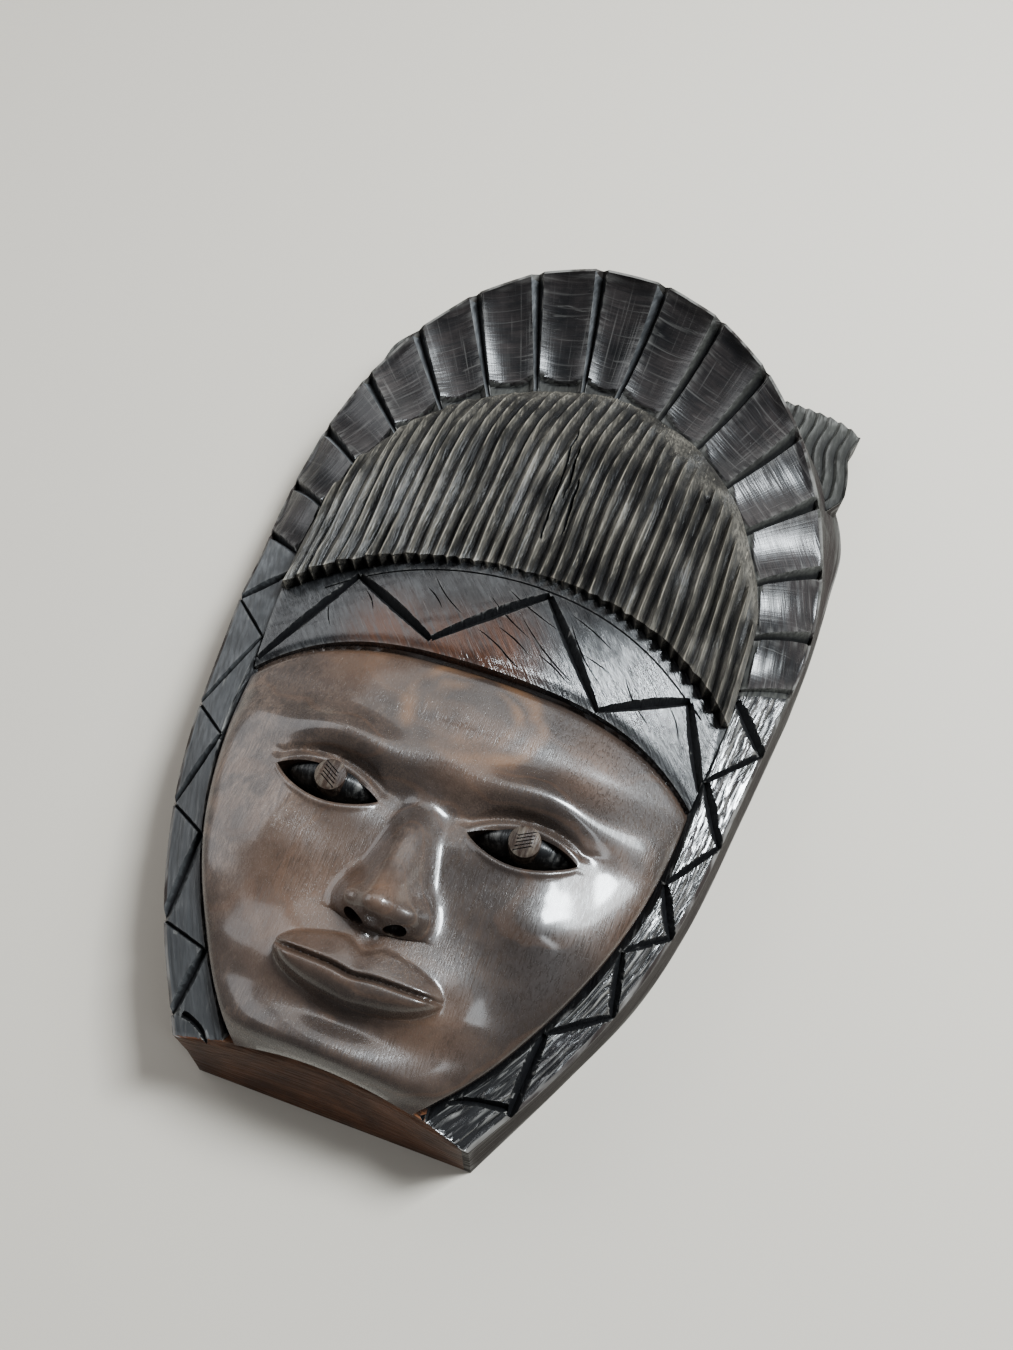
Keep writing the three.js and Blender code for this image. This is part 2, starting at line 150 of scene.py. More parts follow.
# Hollow in the back
HOLLOW_HALF_WIDTH = 81
HOLLOW_HALF_LENGTH = 117
HOLLOW_CENTRE_Y = -8
HOLLOW_DEPTH = 38
HOLLOW_TAPER = 0.16
SCALLOP_DEPTH = 0.9
BELOW_BACK_Z = -5

# Finishes, in the order of the piece's material slots
FINISHES = (
    "polished_face", "crown_wood", "side_band_wood", "wall_wood", "ribbed_wood",
    "headband_wood", "raw_wood", "eye_wood", "cut_wood", "slate_wood", "sawn_wood", "hair_wood",
)
POLISHED, CROWN, SIDE_BAND, WALL, RIBBED, BAND, RAW, EYE, CUT, SLATY, SAWN, HAIR = range(len(FINISHES))


def clamp(x, low, high):
    return max(low, min(high, x))


def lerp(a, b, t):
    return a + (b - a) * t


def smoothstep(x, low, high):
    t = clamp((x - low) / (high - low), 0, 1)
    return t * t * (3 - 2 * t)


def bell(d):
    return math.exp(-d * d)


def grain(x, y, z=0.0):
    """Smooth noise from about -1 to 1."""
    return noise.noise(Vector((x, y, z)))


def strokes(along, across, length, width, seed):
    """Gouge strokes: long narrow hollows from 0 to 1, ragged at their ends."""
    bend = 0.6 * grain(along / 9, across / 9, seed + 5)
    n = grain(along / length + 0.4 * bend, across / width + bend, seed)
    m = grain(along / (length * 0.4), across / (width * 0.55), seed + 11)
    return clamp(0.5 + 0.9 * n + 0.35 * m, 0, 1)


def curve_through(points):
    """A smooth curve through points, asked from 0 to 1, with even steps between the points."""
    spots = [Vector(p) for p in points]
    spots = [2 * spots[0] - spots[1]] + spots + [2 * spots[-1] - spots[-2]]

    def at(t):
        place = clamp(t, 0, 1) * (len(spots) - 3)
        k = min(int(place), len(spots) - 4)
        p0, p1, p2, p3 = spots[k:k + 4]
        d0, d1, d2 = [max((b - a).length, 1e-6) ** 0.5 for a, b in ((p0, p1), (p1, p2), (p2, p3))]
        start = ((p1 - p0) / d0 - (p2 - p0) / (d0 + d1) + (p2 - p1) / d1) * d1
        end = ((p2 - p1) / d1 - (p3 - p1) / (d1 + d2) + (p3 - p2) / d2) * d1
        s = place - k
        return (p1 + start * s + (3 * (p2 - p1) - 2 * start - end) * s * s
                + (2 * (p1 - p2) + start + end) * s ** 3)

    return at


# Outlines. q counts panels from the middle of the crown, s runs up the side from the chin.
def rim_on_crown(q):
    angle = math.radians(90 - PANEL_ANGLE * q)
    x = RIM_HALF_WIDTH * math.cos(angle)
    y = RIM_CENTRE_Y + RIM_RISE * math.sin(angle)
    height = max(0, 1 - (x / RIM_HALF_WIDTH) ** 2) ** 0.8
    return Vector((x, y, lerp(RIM_SIDE_Z, RIM_TOP_Z, height)))


def valley_on_crown(q):
    angle = math.radians(90 - 9 * q if q < 0.5 else 85.5 - 12.6 * (q - 0.5))
    x = VALLEY_HALF_WIDTH * math.cos(angle)
    y = VALLEY_CENTRE_Y + VALLEY_RISE * math.sin(angle)
    return Vector((x, y, lerp(VALLEY_SIDE_Z, VALLEY_TOP_Z, max(0, math.sin(angle)))))


base_crown_curve = curve_through([
    (0, 155, 0), (42, 152, 0), (73, 143, 0), (98, 124, 0),
    (108.4, 101, 0), (108.9, 76, 0), (108.2, 48, 0), (105.8, 21, 0),
])
rim_side_curve = curve_through([
    (46.8, -155, 36), (65.4, -125, 36), (79.4, -95, 33),
    (88.3, -65, 31), (95.7, -20, 27.5), rim_on_crown(PANELS_PER_SIDE),
])
base_side_curve = curve_through([
    (47.8, -161.5, 0), (67.3, -126.5, 0), (82.7, -96, 0),
    (92, -65, 0), (99.6, -20, 0), (105.8, 21, 0),
])
inner_side_curve = curve_through([
    (32.8, -151.2, 40), (54.3, -122.2, 39.5), (69.6, -92.5, 38),
    (79, -60, 35.5), (82, -22, 33), valley_on_crown(PANELS_PER_SIDE),
])


def mirrored(side, p):
    return Vector((side * p[0], p[1], p[2]))


def flank(side, p):
    """The left flank stands a little fuller than the right one below the crown."""
    extra = LEFT_FULLNESS * smoothstep(-p[1], -18, 12) if side < 0 else 0
    return Vector((side * (p[0] + extra), p[1], p[2]))


def chin_front_y(x):
    return CHIN_FRONT_Y + CHIN_FRONT_BOW * max(0, 1 - (x / CHIN_HALF_WIDTH) ** 2) ** 1.5


# Mesh helpers
def sheet(columns, rows, place):
    """A grid of faces whose points are moved to place(column, row), and remember both."""
    bm = bmesh.new()
    column_of = bm.verts.layers.int.new("column")
    row_of = bm.verts.layers.int.new("row")
    bmesh.ops.create_grid(bm, x_segments=columns, y_segments=rows, size=0.5)
    for point in bm.verts:
        point[column_of] = round((point.co.x + 0.5) * columns)
        point[row_of] = round((point.co.y + 0.5) * rows)
        point.co = place(point[column_of], point[row_of])
    return bm


def block(bm, floor):
    """Takes a sheet's edges straight down to the floor and closes it below."""
    edges = [e for e in bm.edges if e.is_boundary]
    grown = bmesh.ops.extrude_edge_only(bm, edges=edges)["geom"]
    for item in grown:
        if isinstance(item, bmesh.types.BMVert):
            item.co.z = floor
    low = [item for item in grown if isinstance(item, bmesh.types.BMEdge) and item.is_boundary]
    bmesh.ops.contextual_create(bm, geom=low)
    bmesh.ops.recalc_face_normals(bm, faces=bm.faces)
    return bm


def tube(around, along, place):
    """A sheet closed on itself across its columns, with both ends filled."""
    bm = sheet(around, along, lambda column, row: place(column % around, row))
    bmesh.ops.remove_doubles(bm, verts=bm.verts, dist=1e-4)
    bmesh.ops.holes_fill(bm, edges=[e for e in bm.edges if e.is_boundary])
    bmesh.ops.recalc_face_normals(bm, faces=bm.faces)
    return bm


def give_finish(bm, finish):
    """Gives every face its material, one finish for all or one asked for each face."""
    for face in bm.faces:
        face.material_index = finish(face) if callable(finish) else finish
        face.smooth = True
    return bm


# Body: side walls, side bands, crown panels and the floor under the cap
WALL_RINGS = 8
TOP_ROWS = 34
LEDGE_START = 0.84
LEDGE_ROWS = 0.6
LEDGE_DROP = 2.2
SIDE_STEPS = 120
CHIN_STEPS = 44
GROOVE_STEPS = (-1, -0.5, 0.2, 0.6)
SIDE_STROKES = {"right": (1.0, 3), "left": (0.3, 40)}


def crown_stations():
    """(panel edge, part of the groove, 0) in the grooves and (panel edge, None, way across) between."""
    stations = []
    for n in range(int(2 * PANELS_PER_SIDE) + 1):
        edge = n - PANELS_PER_SIDE
        for part in GROOVE_STEPS:
            if edge > -PANELS_PER_SIDE or part >= 0:
                stations.append((edge, part, 0))
        if edge < PANELS_PER_SIDE:
            for k in range(PANEL_COLUMNS):
                stations.append((edge, None, k / PANEL_COLUMNS))
    return [s for s in stations if s[0] < PANELS_PER_SIDE or s[1] is None or s[1] <= 0]


def crown_q(station, t):
    edge, part, across = station
    half = GROOVE_HALF_WIDTH * lerp(1, 0.55, t)
    if part is not None:
        return edge + part * half
    return edge + half + across * (1 - 2 * half)


def top_share(part):
    """Way from rim to valley, with its rows drawn together where the panels end."""
    if part < LEDGE_ROWS:
        return LEDGE_START * part / LEDGE_ROWS
    return lerp(LEDGE_START, 1, (part - LEDGE_ROWS) / (1 - LEDGE_ROWS))


def panel_end(station):
    """Where a panel ends, t from the rim: further from the valley on the left and at its corners."""
    edge, _, across = station
    end = lerp(0.945, 0.895, smoothstep(-edge, -4, 1.5))
    return end - 0.05 * abs(2 * across - 1) ** 4 + 0.014 * grain(edge * 6.2, across * 4)


def crown_spot(station, t, lip):
    """A point on the crown, t from the rim at 0 to the valley at 1."""
    q = crown_q(station, t)
    side = -1 if q < 0 else 1
    rim = mirrored(side, rim_on_crown(abs(q)))
    inner = mirrored(side, valley_on_crown(abs(q)))
    spot = rim.lerp(inner, t)
    edge, part, across = station
    rise = (1 - t) * 0.3 + (1 - t) ** 2 * 0.7
    spot.z = lerp(inner.z, rim.z, 1 if t <= lip else rise)
    if part is not None:
        depth = GROOVE_DEPTH * (1 - 0.45 * t) * smoothstep(t, -0.01, 0.02)
        fall = (part + 1) / 1.2 if part < 0.2 else (1 - part) / 0.8
        spot.z -= depth * clamp(fall, 0, 1) ** 0.8
        return spot
    panel = round(edge * 2)
    scoop = 4 * across * (1 - across)
    lean = 0.35 * grain(panel * 3.7, 2.1) * (across - 0.5) * 2
    square = abs(2 * across - 1) ** 4
    flat = lerp(0.3, 1, smoothstep(t, lip, lip + 0.03 + 0.08 * square))
    ripple = 0.16 * grain(panel * 5.3 + across * 1.5, t * 9) + 0.1 * grain(panel + across * 9, t * 3)
    worn = 0.5 * bell((t - 0.02) / 0.03) * max(0, grain(panel * 2.9, across * 3 + 4))
    spot.z += (ripple + lean - SCOOP_DEPTH * scoop) * flat - worn
    end = panel_end(station)
    past = smoothstep(t, end, end + 0.02)
    rough = 0.4 * grain(spot.x / 2.2, spot.y / 2.2, 8)
    spot.z -= past * (LEDGE_DROP * lerp(0.3, 1, smoothstep(-q, -3, 2)) + rough)
    return spot


def side_station(side, s):
    base, rim = flank(side, base_side_curve(s)), flank(side, rim_side_curve(s))
    return base, rim, mirrored(side, inner_side_curve(s)), s


def chin_station(k):
    x = lerp(-CHIN_HALF_WIDTH - LEFT_FULLNESS, CHIN_HALF_WIDTH, k / CHIN_STEPS)
    base = Vector((x * 1.02, CHIN_BACK_Y + 0.019 * x, 0))
    front = chin_front_y(x)
    return base, Vector((x, front, CHIN_Z)), Vector((x * 0.72, front + 3.5, CHIN_INNER_Z)), None


def body():
    crown = crown_stations()
    stations = [("chin", chin_station(k)) for k in range(1, CHIN_STEPS)]
    stations += [("right", side_station(1, k / SIDE_STEPS)) for k in range(SIDE_STEPS)]
    stations += [("crown", s) for s in reversed(crown)]
    stations += [("left", side_station(-1, k / SIDE_STEPS)) for k in reversed(range(SIDE_STEPS))]
    rows = WALL_RINGS + 1 + TOP_ROWS + 1

    def place(column, row):
        kind, data = stations[column]
        if kind == "crown":
            q = crown_q(data, 0)
            side = -1 if q < 0 else 1
            base = mirrored(side, base_crown_curve(clamp(abs(q) / PANELS_PER_SIDE, 0, 1)))
            rim = crown_spot(data, 0, 0.05)
            inner = crown_spot(data, 1, 0.05)
        else:
            base, rim, inner, s = data
        if row <= WALL_RINGS:
            up = row / WALL_RINGS
            spot = base.lerp(rim, up)
            rough = math.sin(math.pi * up) * (0.35 + 0.35 * grain(spot.x / 14, spot.y / 14, spot.z / 5))
            inward = Vector((-spot.x, -(spot.y + 10), 0)).normalized()
            return spot + inward * rough * (0.4 if kind == "chin" else 1)
        if row == rows:
            return Vector((inner.x * FLOOR_SHRINK, inner.y * FLOOR_SHRINK, FLOOR_Z))
        lip = LIP_WIDTH / (rim.xy - inner.xy).length
        t = lerp(lip, 1, top_share((row - WALL_RINGS - 1) / TOP_ROWS))
        if kind == "crown":
            return crown_spot(data, t, lip * 1.01)
        spot = rim.lerp(inner, t)
        if kind == "chin":
            return spot
        depth, seed = SIDE_STROKES[kind]
        cut = strokes(s * 200, t * 18, 26, 1.5, seed)
        spot.z += 0.5 * math.sin(math.pi * t) - depth * cut * smoothstep(t, lip, 0.12)
        return spot

    bm = tube(len(stations), rows, place)
    column_of = bm.verts.layers.int["column"]
    row_of = bm.verts.layers.int["row"]

    def finish(face):
        kind, data = stations[max(point[column_of] for point in face.verts) % len(stations)]
        row = min(point[row_of] for point in face.verts)
        if len(face.verts) > 4:
            return RAW
        if kind == "chin":
            return SAWN
        if row <= WALL_RINGS:
            return WALL
        if kind != "crown":
            # The innermost row of each side band, the step down beside the face, gets the black cut finish
            # as a painted shade strip
            if row == rows - 1:
                return CUT
            return SIDE_BAND if kind == "right" else SLATY
        edge, part, _ = data
        if part is None:
            way = top_share((row - WALL_RINGS - 1) / TOP_ROWS)
            return CROWN if way < panel_end(data) else HAIR
        # Groove flanks: one flank gets a lighter finish as painted light, the other the black cut finish as
        # painted shade
        if part > 0:
            return CUT
        return SLATY if edge < 1 else HAIR

    return give_finish(bm, finish)


# Cap
def cap_edge_y(x):
    out = min(1, abs(x) / CAP_HALF_WIDTH)
    return CAP_EDGE_Y - CAP_EDGE_DROP * out ** 2.5 + 0.05 * x * (1 - out * out)


def valley_y(x):
    reach = max(0.04, 1 - (x / VALLEY_HALF_WIDTH) ** 2)
    return VALLEY_CENTRE_Y + VALLEY_RISE * math.sqrt(reach)


def cap_height(x, y):
    widest = VALLEY_HALF_WIDTH
    if y > VALLEY_CENTRE_Y:
        widest *= math.sqrt(max(0, 1 - ((y - VALLEY_CENTRE_Y) / VALLEY_RISE) ** 2))
    fall = max(0, 1 - (x / max(widest, 1)) ** 2) ** 0.6
    crest = CAP_TOP_Z - 3.5 * bell((y - CAP_EDGE_Y) / 16) - 20 * smoothstep(y, 62, 118) ** 1.4
    return lerp(CAP_SIDE_Z, crest, fall)


RIB_STEPS = (0, 0.24, 0.42, 0.5, 0.58, 0.76)
RIB_COLUMNS = len(RIB_STEPS)
RIB_ROWS = 74
CRACKS = ((0, 34, 84), (6.4, 38, 60), (3.1, 52, 76))


def rib_line(k, y):
    """How far groove k wanders sideways at y."""
    slow = 1.3 * grain(k * 0.37, y / 40, 3) + 0.8 * grain(k * 1.7, y / 40, 5)
    return slow + 0.12 * grain(k * 2.3, y / 9, 9)


def cap():
    columns = RIB_COUNT * RIB_COLUMNS

    def place(column, row):
        v = row / RIB_ROWS
        k, step = divmod(column, RIB_COLUMNS)
        p = RIB_STEPS[step]
        plain_x = lerp(-CAP_HALF_WIDTH, CAP_HALF_WIDTH, (k + p) / RIB_COUNT)
        y = lerp(cap_edge_y(plain_x), valley_y(plain_x), v)
        inside = 0 if column in (0, columns) else 1
        lean = RIB_LEAN * (y - CAP_EDGE_Y) * (1 - abs(plain_x) / CAP_HALF_WIDTH)
        wander = lerp(rib_line(k, y), rib_line(k + 1, y), p) * inside
        x = plain_x + wander
        thin = 1 + 1.5 * smoothstep(v + 0.2 * grain(k * 1.3, 5), 0.35, 0.85)
        crest = (1 - abs(2 * p - 1)) ** thin
        facet = 0.35 * grain(k * 4.1, y / 30, 7) + 0.3 * grain(k * 6.7 + 3 * p, y / 25, 1)
        shallow = smoothstep(grain(k * 0.9, y / 25, 15), -0.5, 0.15) * 0.6 + 0.4
        fading = lerp(0.86, 0.72, smoothstep(plain_x, 5, 50)) + 0.1 * grain(k * 2.7, 8)
        ending = 1 - smoothstep(v, fading, fading + 0.16)
        top = cap_height(plain_x, y) + (crest * RIB_DEPTH - RIB_SINK) * shallow * ending
        top += facet * crest + 0.2 * grain(x / 0.7, y / 13, 30) + 0.08 * grain(x / 0.9, y / 3, 31)
        top -= 2.5 * bell(math.hypot(x + lean - KNOT[0], y - KNOT[1]) / 1.3)
        tip = 0.8 * (1 - crest) * bell(v * 9)
        return Vector((x + lean, y - 1.4 * crest * bell(v * 7) + tip, top - 0.5 * tip))

    return give_finish(block(sheet(columns, RIB_ROWS, place), CAP_ROOT_Z), RIBBED)


def thin_cut(spots, width, depth, seed):
    """A thin V cut that comes out of the wood at both ends."""
    path = []
    for k, spot in enumerate(spots):
        lift = 0.95 * depth * (1 - math.sin(math.pi * k / (len(spots) - 1)) ** 0.6)
        path.append(spot + Vector((0, 0, lift)))
    return v_cut(path, width, depth, seed)


def cap_cracks():
    """Thin drying cracks between the ribs."""
    cracks = []
    for offset, low, high in CRACKS:
        spots = []
        for k in range(21):
            y = lerp(high, low, k / 20)
            x = lerp(3.3, 1.5, (y - 39) / 39) + offset + 0.9 * grain(y / 7, 50 + offset)
            spots.append(Vector((x, y, cap_height(x, y))))
        cracks.append(thin_cut(spots, CRACK_WIDTH, CRACK_DEPTH, offset + 90))
    return cracks


# Headband
def band_low_y(x):
    return BAND_EDGE_Y - BAND_EDGE_DROP * (abs(x) / BAND_HALF_WIDTH) ** 3.5


def band_high_y(x):
    return cap_edge_y(x) + BAND_LAP


def band_swell(v):
    """How far the headband bulges, v from its lower edge at 0 to its upper edge at 1."""
    return BAND_SWELL * math.sin(math.pi * min(v * 1.1, 1))


def band_height(x):
    fall = 1 - min(1, abs(x) / FACE_HALF_WIDTH) ** 1.7
    return lerp(BAND_END_Z, BAND_TOP_Z, fall)


BAND_COLUMNS = 170
BAND_ROWS = 40
BORDER_STEPS = 60
BORDER_WIDTH = 0.36
BORDER_DEPTH = 0.7
SCORE_WIDTH = 0.3
SCORE_DEPTH = 0.8
SCORES = (
    (22.2, 13.1, 39.2, 5.8), (22.6, 10.5, 39.7, -7.9), (30.2, 0.6, 40.8, -2.2), (5.3, 7.3, 31.2, -10.9),
    (15.4, -4.6, 29.4, -11.4), (-27.5, 12.4, -12.8, 0.5), (-28.8, 7.6, -20.4, 0.7), (-6.4, 10.4, 12.5, -1.0),
    (-0.1, 0, 13.2, -6.2), (-1.1, 14.5, 20.1, 5.6), (-6.5, -2.9, 8.6, -10.5), (-62, -4, -57, -15),
    (-50, 1.5, -44, -6), (46, -2, 58, -14), (62, -4, 69, -15), (2, -6, 12, -12),
)


def headband():
    def place(column, row):
        t = 2 * column / BAND_COLUMNS - 1
        v = row / BAND_ROWS
        low = Vector((t * BAND_HALF_WIDTH, band_low_y(t * BAND_HALF_WIDTH)))
        high = Vector((t * CAP_HALF_WIDTH, band_high_y(t * CAP_HALF_WIDTH)))
        x, y = low.lerp(high, v)
        roll = -0.8 * bell(v / 0.05)
        slant = 0.9 if x > 5 else -0.5
        along = x * math.cos(slant) - y * math.sin(slant)
        across = x * math.sin(slant) + y * math.cos(slant)
        cut = strokes(along, across, 24, 2.4, 21)
        rough = 0.2 * cut * smoothstep(v, 0.05, 0.25) * (1 - smoothstep(v, 0.6, 0.7))
        return Vector((x, y, band_height(x) + band_swell(v) + roll - rough))

    return give_finish(block(sheet(BAND_COLUMNS, BAND_ROWS, place), BAND_ROOT_Z), BAND)


# Face
FACE_COLUMNS = 120
FACE_ROWS = 118
MIDLINE = (
    (-5, 45.5), (-38, 51), (-52, 53.5), (-68, 50), (-95, 50.2),
    (-122, 54), (-134, 51.5), (-143, 52), (-153, 43),
)


def face_half(y):
    """Half the face's width at y."""
    down = max(0, FACE_WIDEST_Y - y) / FACE_TAPER
    return FACE_HALF_WIDTH * (1 - down ** 2.3) - FACE_GAP


def midline(y):
    """Height of the face's middle line, without nose and lips."""
    k = 1
    while k < len(MIDLINE) - 1 and y < MIDLINE[k][0]:
        k += 1
    (y0, z0), (y1, z1) = MIDLINE[k - 1], MIDLINE[k]
    return lerp(z0, z1, smoothstep(clamp((y - y0) / (y1 - y0), 0, 1), 0, 1))


def plain_face(x, y):
    """Dome, cheekbones, eye sockets and brows, with a groove where the headband sits on the forehead."""
    ax = abs(x)
    across = min(1, ax / face_half(y))
    full = smoothstep(-y, 12, 80)
    edge = lerp(31, 43, smoothstep(-y, 12, 112)) - 2 * smoothstep(-y, 125, 152)
    dome = (1 - across ** lerp(1.8, 2.7, full)) ** lerp(0.95, 0.52, full)
    cheek = 4.6 * bell((ax - 44) / 17) * bell((y + 90) / 14)
    cheek -= 2.4 * bell((ax - 43) / 15) * bell((y + 121) / 12)
    socket = 6.6 * bell((ax - 28) / 15) * bell((y + 65) / 7.5) + 2.4 * bell(x / 10) * bell((y + 65) / 8)
    brow_y = -57 + 5.5 * bell((ax - 37) / 17)
    brow = 3.4 * bell((ax - 31) / 21) * bell((y - brow_y) / 6)
    muzzle = 1.6 * bell(x / 25) * bell((y + 119) / 13)
    groove = 3 * bell((y - band_low_y(x) + 0.9) / 1.6)
    tooled = 0.22 * grain(x / 13, y / 17, 5)
    return lerp(edge, midline(y), dome) + cheek - socket + brow + muzzle - groove + tooled


def nose_swell(x, y):
    """Bridge, tip and wings over the plain face, cut off below by a round underside."""
    ax = abs(x)
    run = clamp((NOSE_ROOT_Y - y) / (NOSE_ROOT_Y - NOSE_TIP_Y), 0, 1)
    past = clamp((NOSE_TIP_Y - 1 - y) / (6.8 - 2 * min(1, (ax / 15) ** 2)), 0, 1)
    half = lerp(8.5, 16.5, run ** 1.6)
    bridge = NOSE_RISE * run ** 1.1 * (1 - smoothstep(ax / half, 0.08, 1))
    tip = 1.6 * bell(x / 6.5) * bell((y - NOSE_TIP_Y - 1) / 7)
    wing = 4.8 * bell((ax - 11.6) / 4.2) * bell((y - NOSE_TIP_Y + 0.5) / 6.5)
    return (bridge + tip + wing) * (1 - past * past) ** 0.65


def mouth_line(x):
    t = x / MOUTH_HALF_WIDTH
    return MOUTH_Y + 0.5 * t * t - 0.9 * bell(x / 5)


def lip_swell(x, y):
    """Upper and lower lip over the plain face, with the groove between them."""
    t = clamp(x / MOUTH_HALF_WIDTH, -1, 1)
    wide = math.sqrt(1 - t * t)
    line = mouth_line(x)
    top = line + wide ** 1.2 * (8.6 - 2.4 * bell(x / 4) - 1.4 * t * t) + 0.01
    low = line - wide ** 1.1 * 10.4 - 0.01
    if y > line:
        out = (y - line) / (top - line)
        swell = lerp(4.9, 1.7, out ** 0.8) if out < 1 else 1.7 * bell((y - top) / 0.8)
    else:
        out = (line - y) / (line - low)
        swell = 5.8 * math.sin(math.pi * (0.3 + 0.65 * out)) if out < 1 else 0.9 * bell((low - y) / 1.5)
    groove = 3.2 * bell((y - line) / 0.75)
    return (swell - groove) * smoothstep(wide, 0.0, 0.7)


def eye_edges(x):
    """Upper and lower edge of the eye's opening at x, and the way along it, -1 inside and 1 outside."""
    along = (abs(x) - EYE_X) / EYE_HALF_LENGTH
    full = max(0, 1 - along * along)
    middle = EYE_Y + 0.7 * along
    return middle + EYE_RISE * full ** 0.9, middle - EYE_DROP * full ** 0.9, along


def lid_swell(x, y):
    upper, lower, along = eye_edges(x)
    full = 1 - smoothstep(abs(along), 0.35, 1.5)
    bulge = 3.9 * full * bell((y - EYE_Y + 0.3) / 9.5)
    rim = 1.1 * full * bell((y - upper - 1.2) / 1.3) + 0.8 * full * bell((y - lower + 1) / 1.2)
    crease = 1.9 * full * bell((y - upper - 4.4) / 1.3)
    return bulge + rim - crease


def face_height(x, y):
    height = plain_face(x, y)
    if abs(abs(x) - EYE_X) < 28 and abs(y - EYE_Y) < 26:
        height += lid_swell(x, y)
    if abs(x) < 26 and NOSE_TIP_Y - 10 < y < NOSE_ROOT_Y:
        height += nose_swell(x, y)
    if abs(x) < MOUTH_HALF_WIDTH and abs(y - MOUTH_Y) < 18:
        height += lip_swell(x, y)
    philtrum = 1.2 * bell(x / 2.4) * bell((y + 110.5) / 2.6)
    corners = 0.7 * bell((abs(x) - MOUTH_HALF_WIDTH - 1) / 5) * bell((y - MOUTH_Y + 1) / 6)
    chin = 2.5 * bell(x / 17) * bell((y + 143.5) / 7)
    dip = 2 * bell(x / 17) * bell((y + 134.8) / 3.4)
    return height + chin - dip - philtrum - corners


def refine(bm, chosen):
    """Halves the faces whose middle is chosen, taking their edges in the mesh's own order."""
    faces = {face for face in bm.faces if chosen(face.calc_center_median())}
    edges = [edge for edge in bm.edges if not faces.isdisjoint(edge.link_faces)]
    bmesh.ops.subdivide_edges(bm, edges=edges, cuts=1, use_grid_fill=True)


def sharp_relief(spot):
    """Where the face bends most: along the mouth, under the nose and round the eyes."""
    if abs(spot.x) < MOUTH_HALF_WIDTH + 1 and abs(spot.y - mouth_line(spot.x)) < 2.6:
        return True
    if abs(spot.x) < 18 and -109.5 < spot.y < -103:
        return True
    upper, lower, along = eye_edges(spot.x)
    near_rim = min(abs(spot.y - upper - 1), abs(spot.y - lower + 1)) < 2
    return abs(along) < 1.1 and near_rim


def face():
    def place(column, row):
        t = 2 * column / FACE_COLUMNS - 1
        v = row / FACE_ROWS
        y = lerp(CHIN_FRONT_Y, FACE_TOP_Y, v)
        x = face_half(y) * math.copysign(1 - (1 - abs(t)) ** 1.25, t)
        y = lerp(chin_front_y(x) + 1.2, FACE_TOP_Y, v)
        return Vector((x, y, 0))

    bm = sheet(FACE_COLUMNS, FACE_ROWS, place)
    refine(bm, lambda spot: abs(spot.x) < 54 and -138 < spot.y < -54)
    refine(bm, sharp_relief)
    for point in bm.verts:
        point.co.z = face_height(point.co.x, point.co.y)
    return give_finish(block(bm, FACE_ROOT_Z), POLISHED)


def almond(side):
    """A prism with the outline of the eye's opening."""
    steps = 36

    def place(column, row):
        turn = 2 * math.pi * column / steps
        x = EYE_X - EYE_HALF_LENGTH * math.cos(turn)
        upper, lower, _ = eye_edges(x)
        y = upper if math.sin(turn) > 0 else lower
        return Vector((side * x, y, EYE_CUT_Z[row]))

    return give_finish(tube(steps, 1, place), EYE)


def set_down(bm, size, place, turn=(0, 0, 0)):
    """Scales a shape about its middle, turns it and moves it to its place."""
    bmesh.ops.scale(bm, vec=size, verts=bm.verts)
    bmesh.ops.rotate(bm, matrix=Euler(turn).to_matrix(), verts=bm.verts)
    bmesh.ops.translate(bm, vec=place, verts=bm.verts)


def eyeball(side):
    """A long carved ball for the opening of the eye."""
    bm = bmesh.new()
    bmesh.ops.create_uvsphere(bm, u_segments=40, v_segments=24, radius=1)
    set_down(bm, BALL_RADII, (side * EYE_X, *BALL_PLACE))
    return give_finish(bm, CUT)


def iris(side):
    """A round iris that stands on the ball, with a stepped top."""
    bm = bmesh.new()
    low, high = IRIS_RADII
    bmesh.ops.create_cone(bm, cap_ends=True, segments=40, radius1=low, radius2=high, depth=IRIS_HEIGHT)
    top = [f for f in bm.faces if f.normal.z > 0.9]
    for inset, lift in IRIS_STEPS:
        bmesh.ops.inset_region(bm, faces=top, thickness=inset, depth=lift)
    bmesh.ops.translate(bm, vec=(side * EYE_X, *IRIS_PLACE), verts=bm.verts)
    return give_finish(bm, EYE)


def iris_hatching(side):
    """Five thin slanting cuts across the top of an iris."""
    cuts = []
    for k in range(5):
        bm = bmesh.new()
        bmesh.ops.create_cube(bm, size=1)
        place = (side * EYE_X, IRIS_PLACE[0] + (k - 2) * HATCH_GAP, HATCH_Z)
        set_down(bm, HATCH_SIZE, place, (0, 0, 0.5 * side))
        cuts.append(give_finish(bm, EYE))
    return cuts


def nostril(side):
    bm = bmesh.new()
    bmesh.ops.create_uvsphere(bm, u_segments=24, v_segments=16, radius=1)
    x, y, z = NOSTRIL_PLACE
    set_down(bm, NOSTRIL_RADII, (side * x, y, z), (0.5, 0, 0.35 * side))
    return give_finish(bm, EYE)


# Hair block
def hair_side(y, side):
    if side < 0:
        return 96 + 6 * smoothstep(y, 98, 112) - 10 * smoothstep(y, 126, 152)
    return 95 + 7.4 * smoothstep(y, 98, 112) - 2 * bell((y - 134) / 9) + smoothstep(y, 140, 148)


HAIR_COLUMNS = 4
HAIR_ROWS = 16


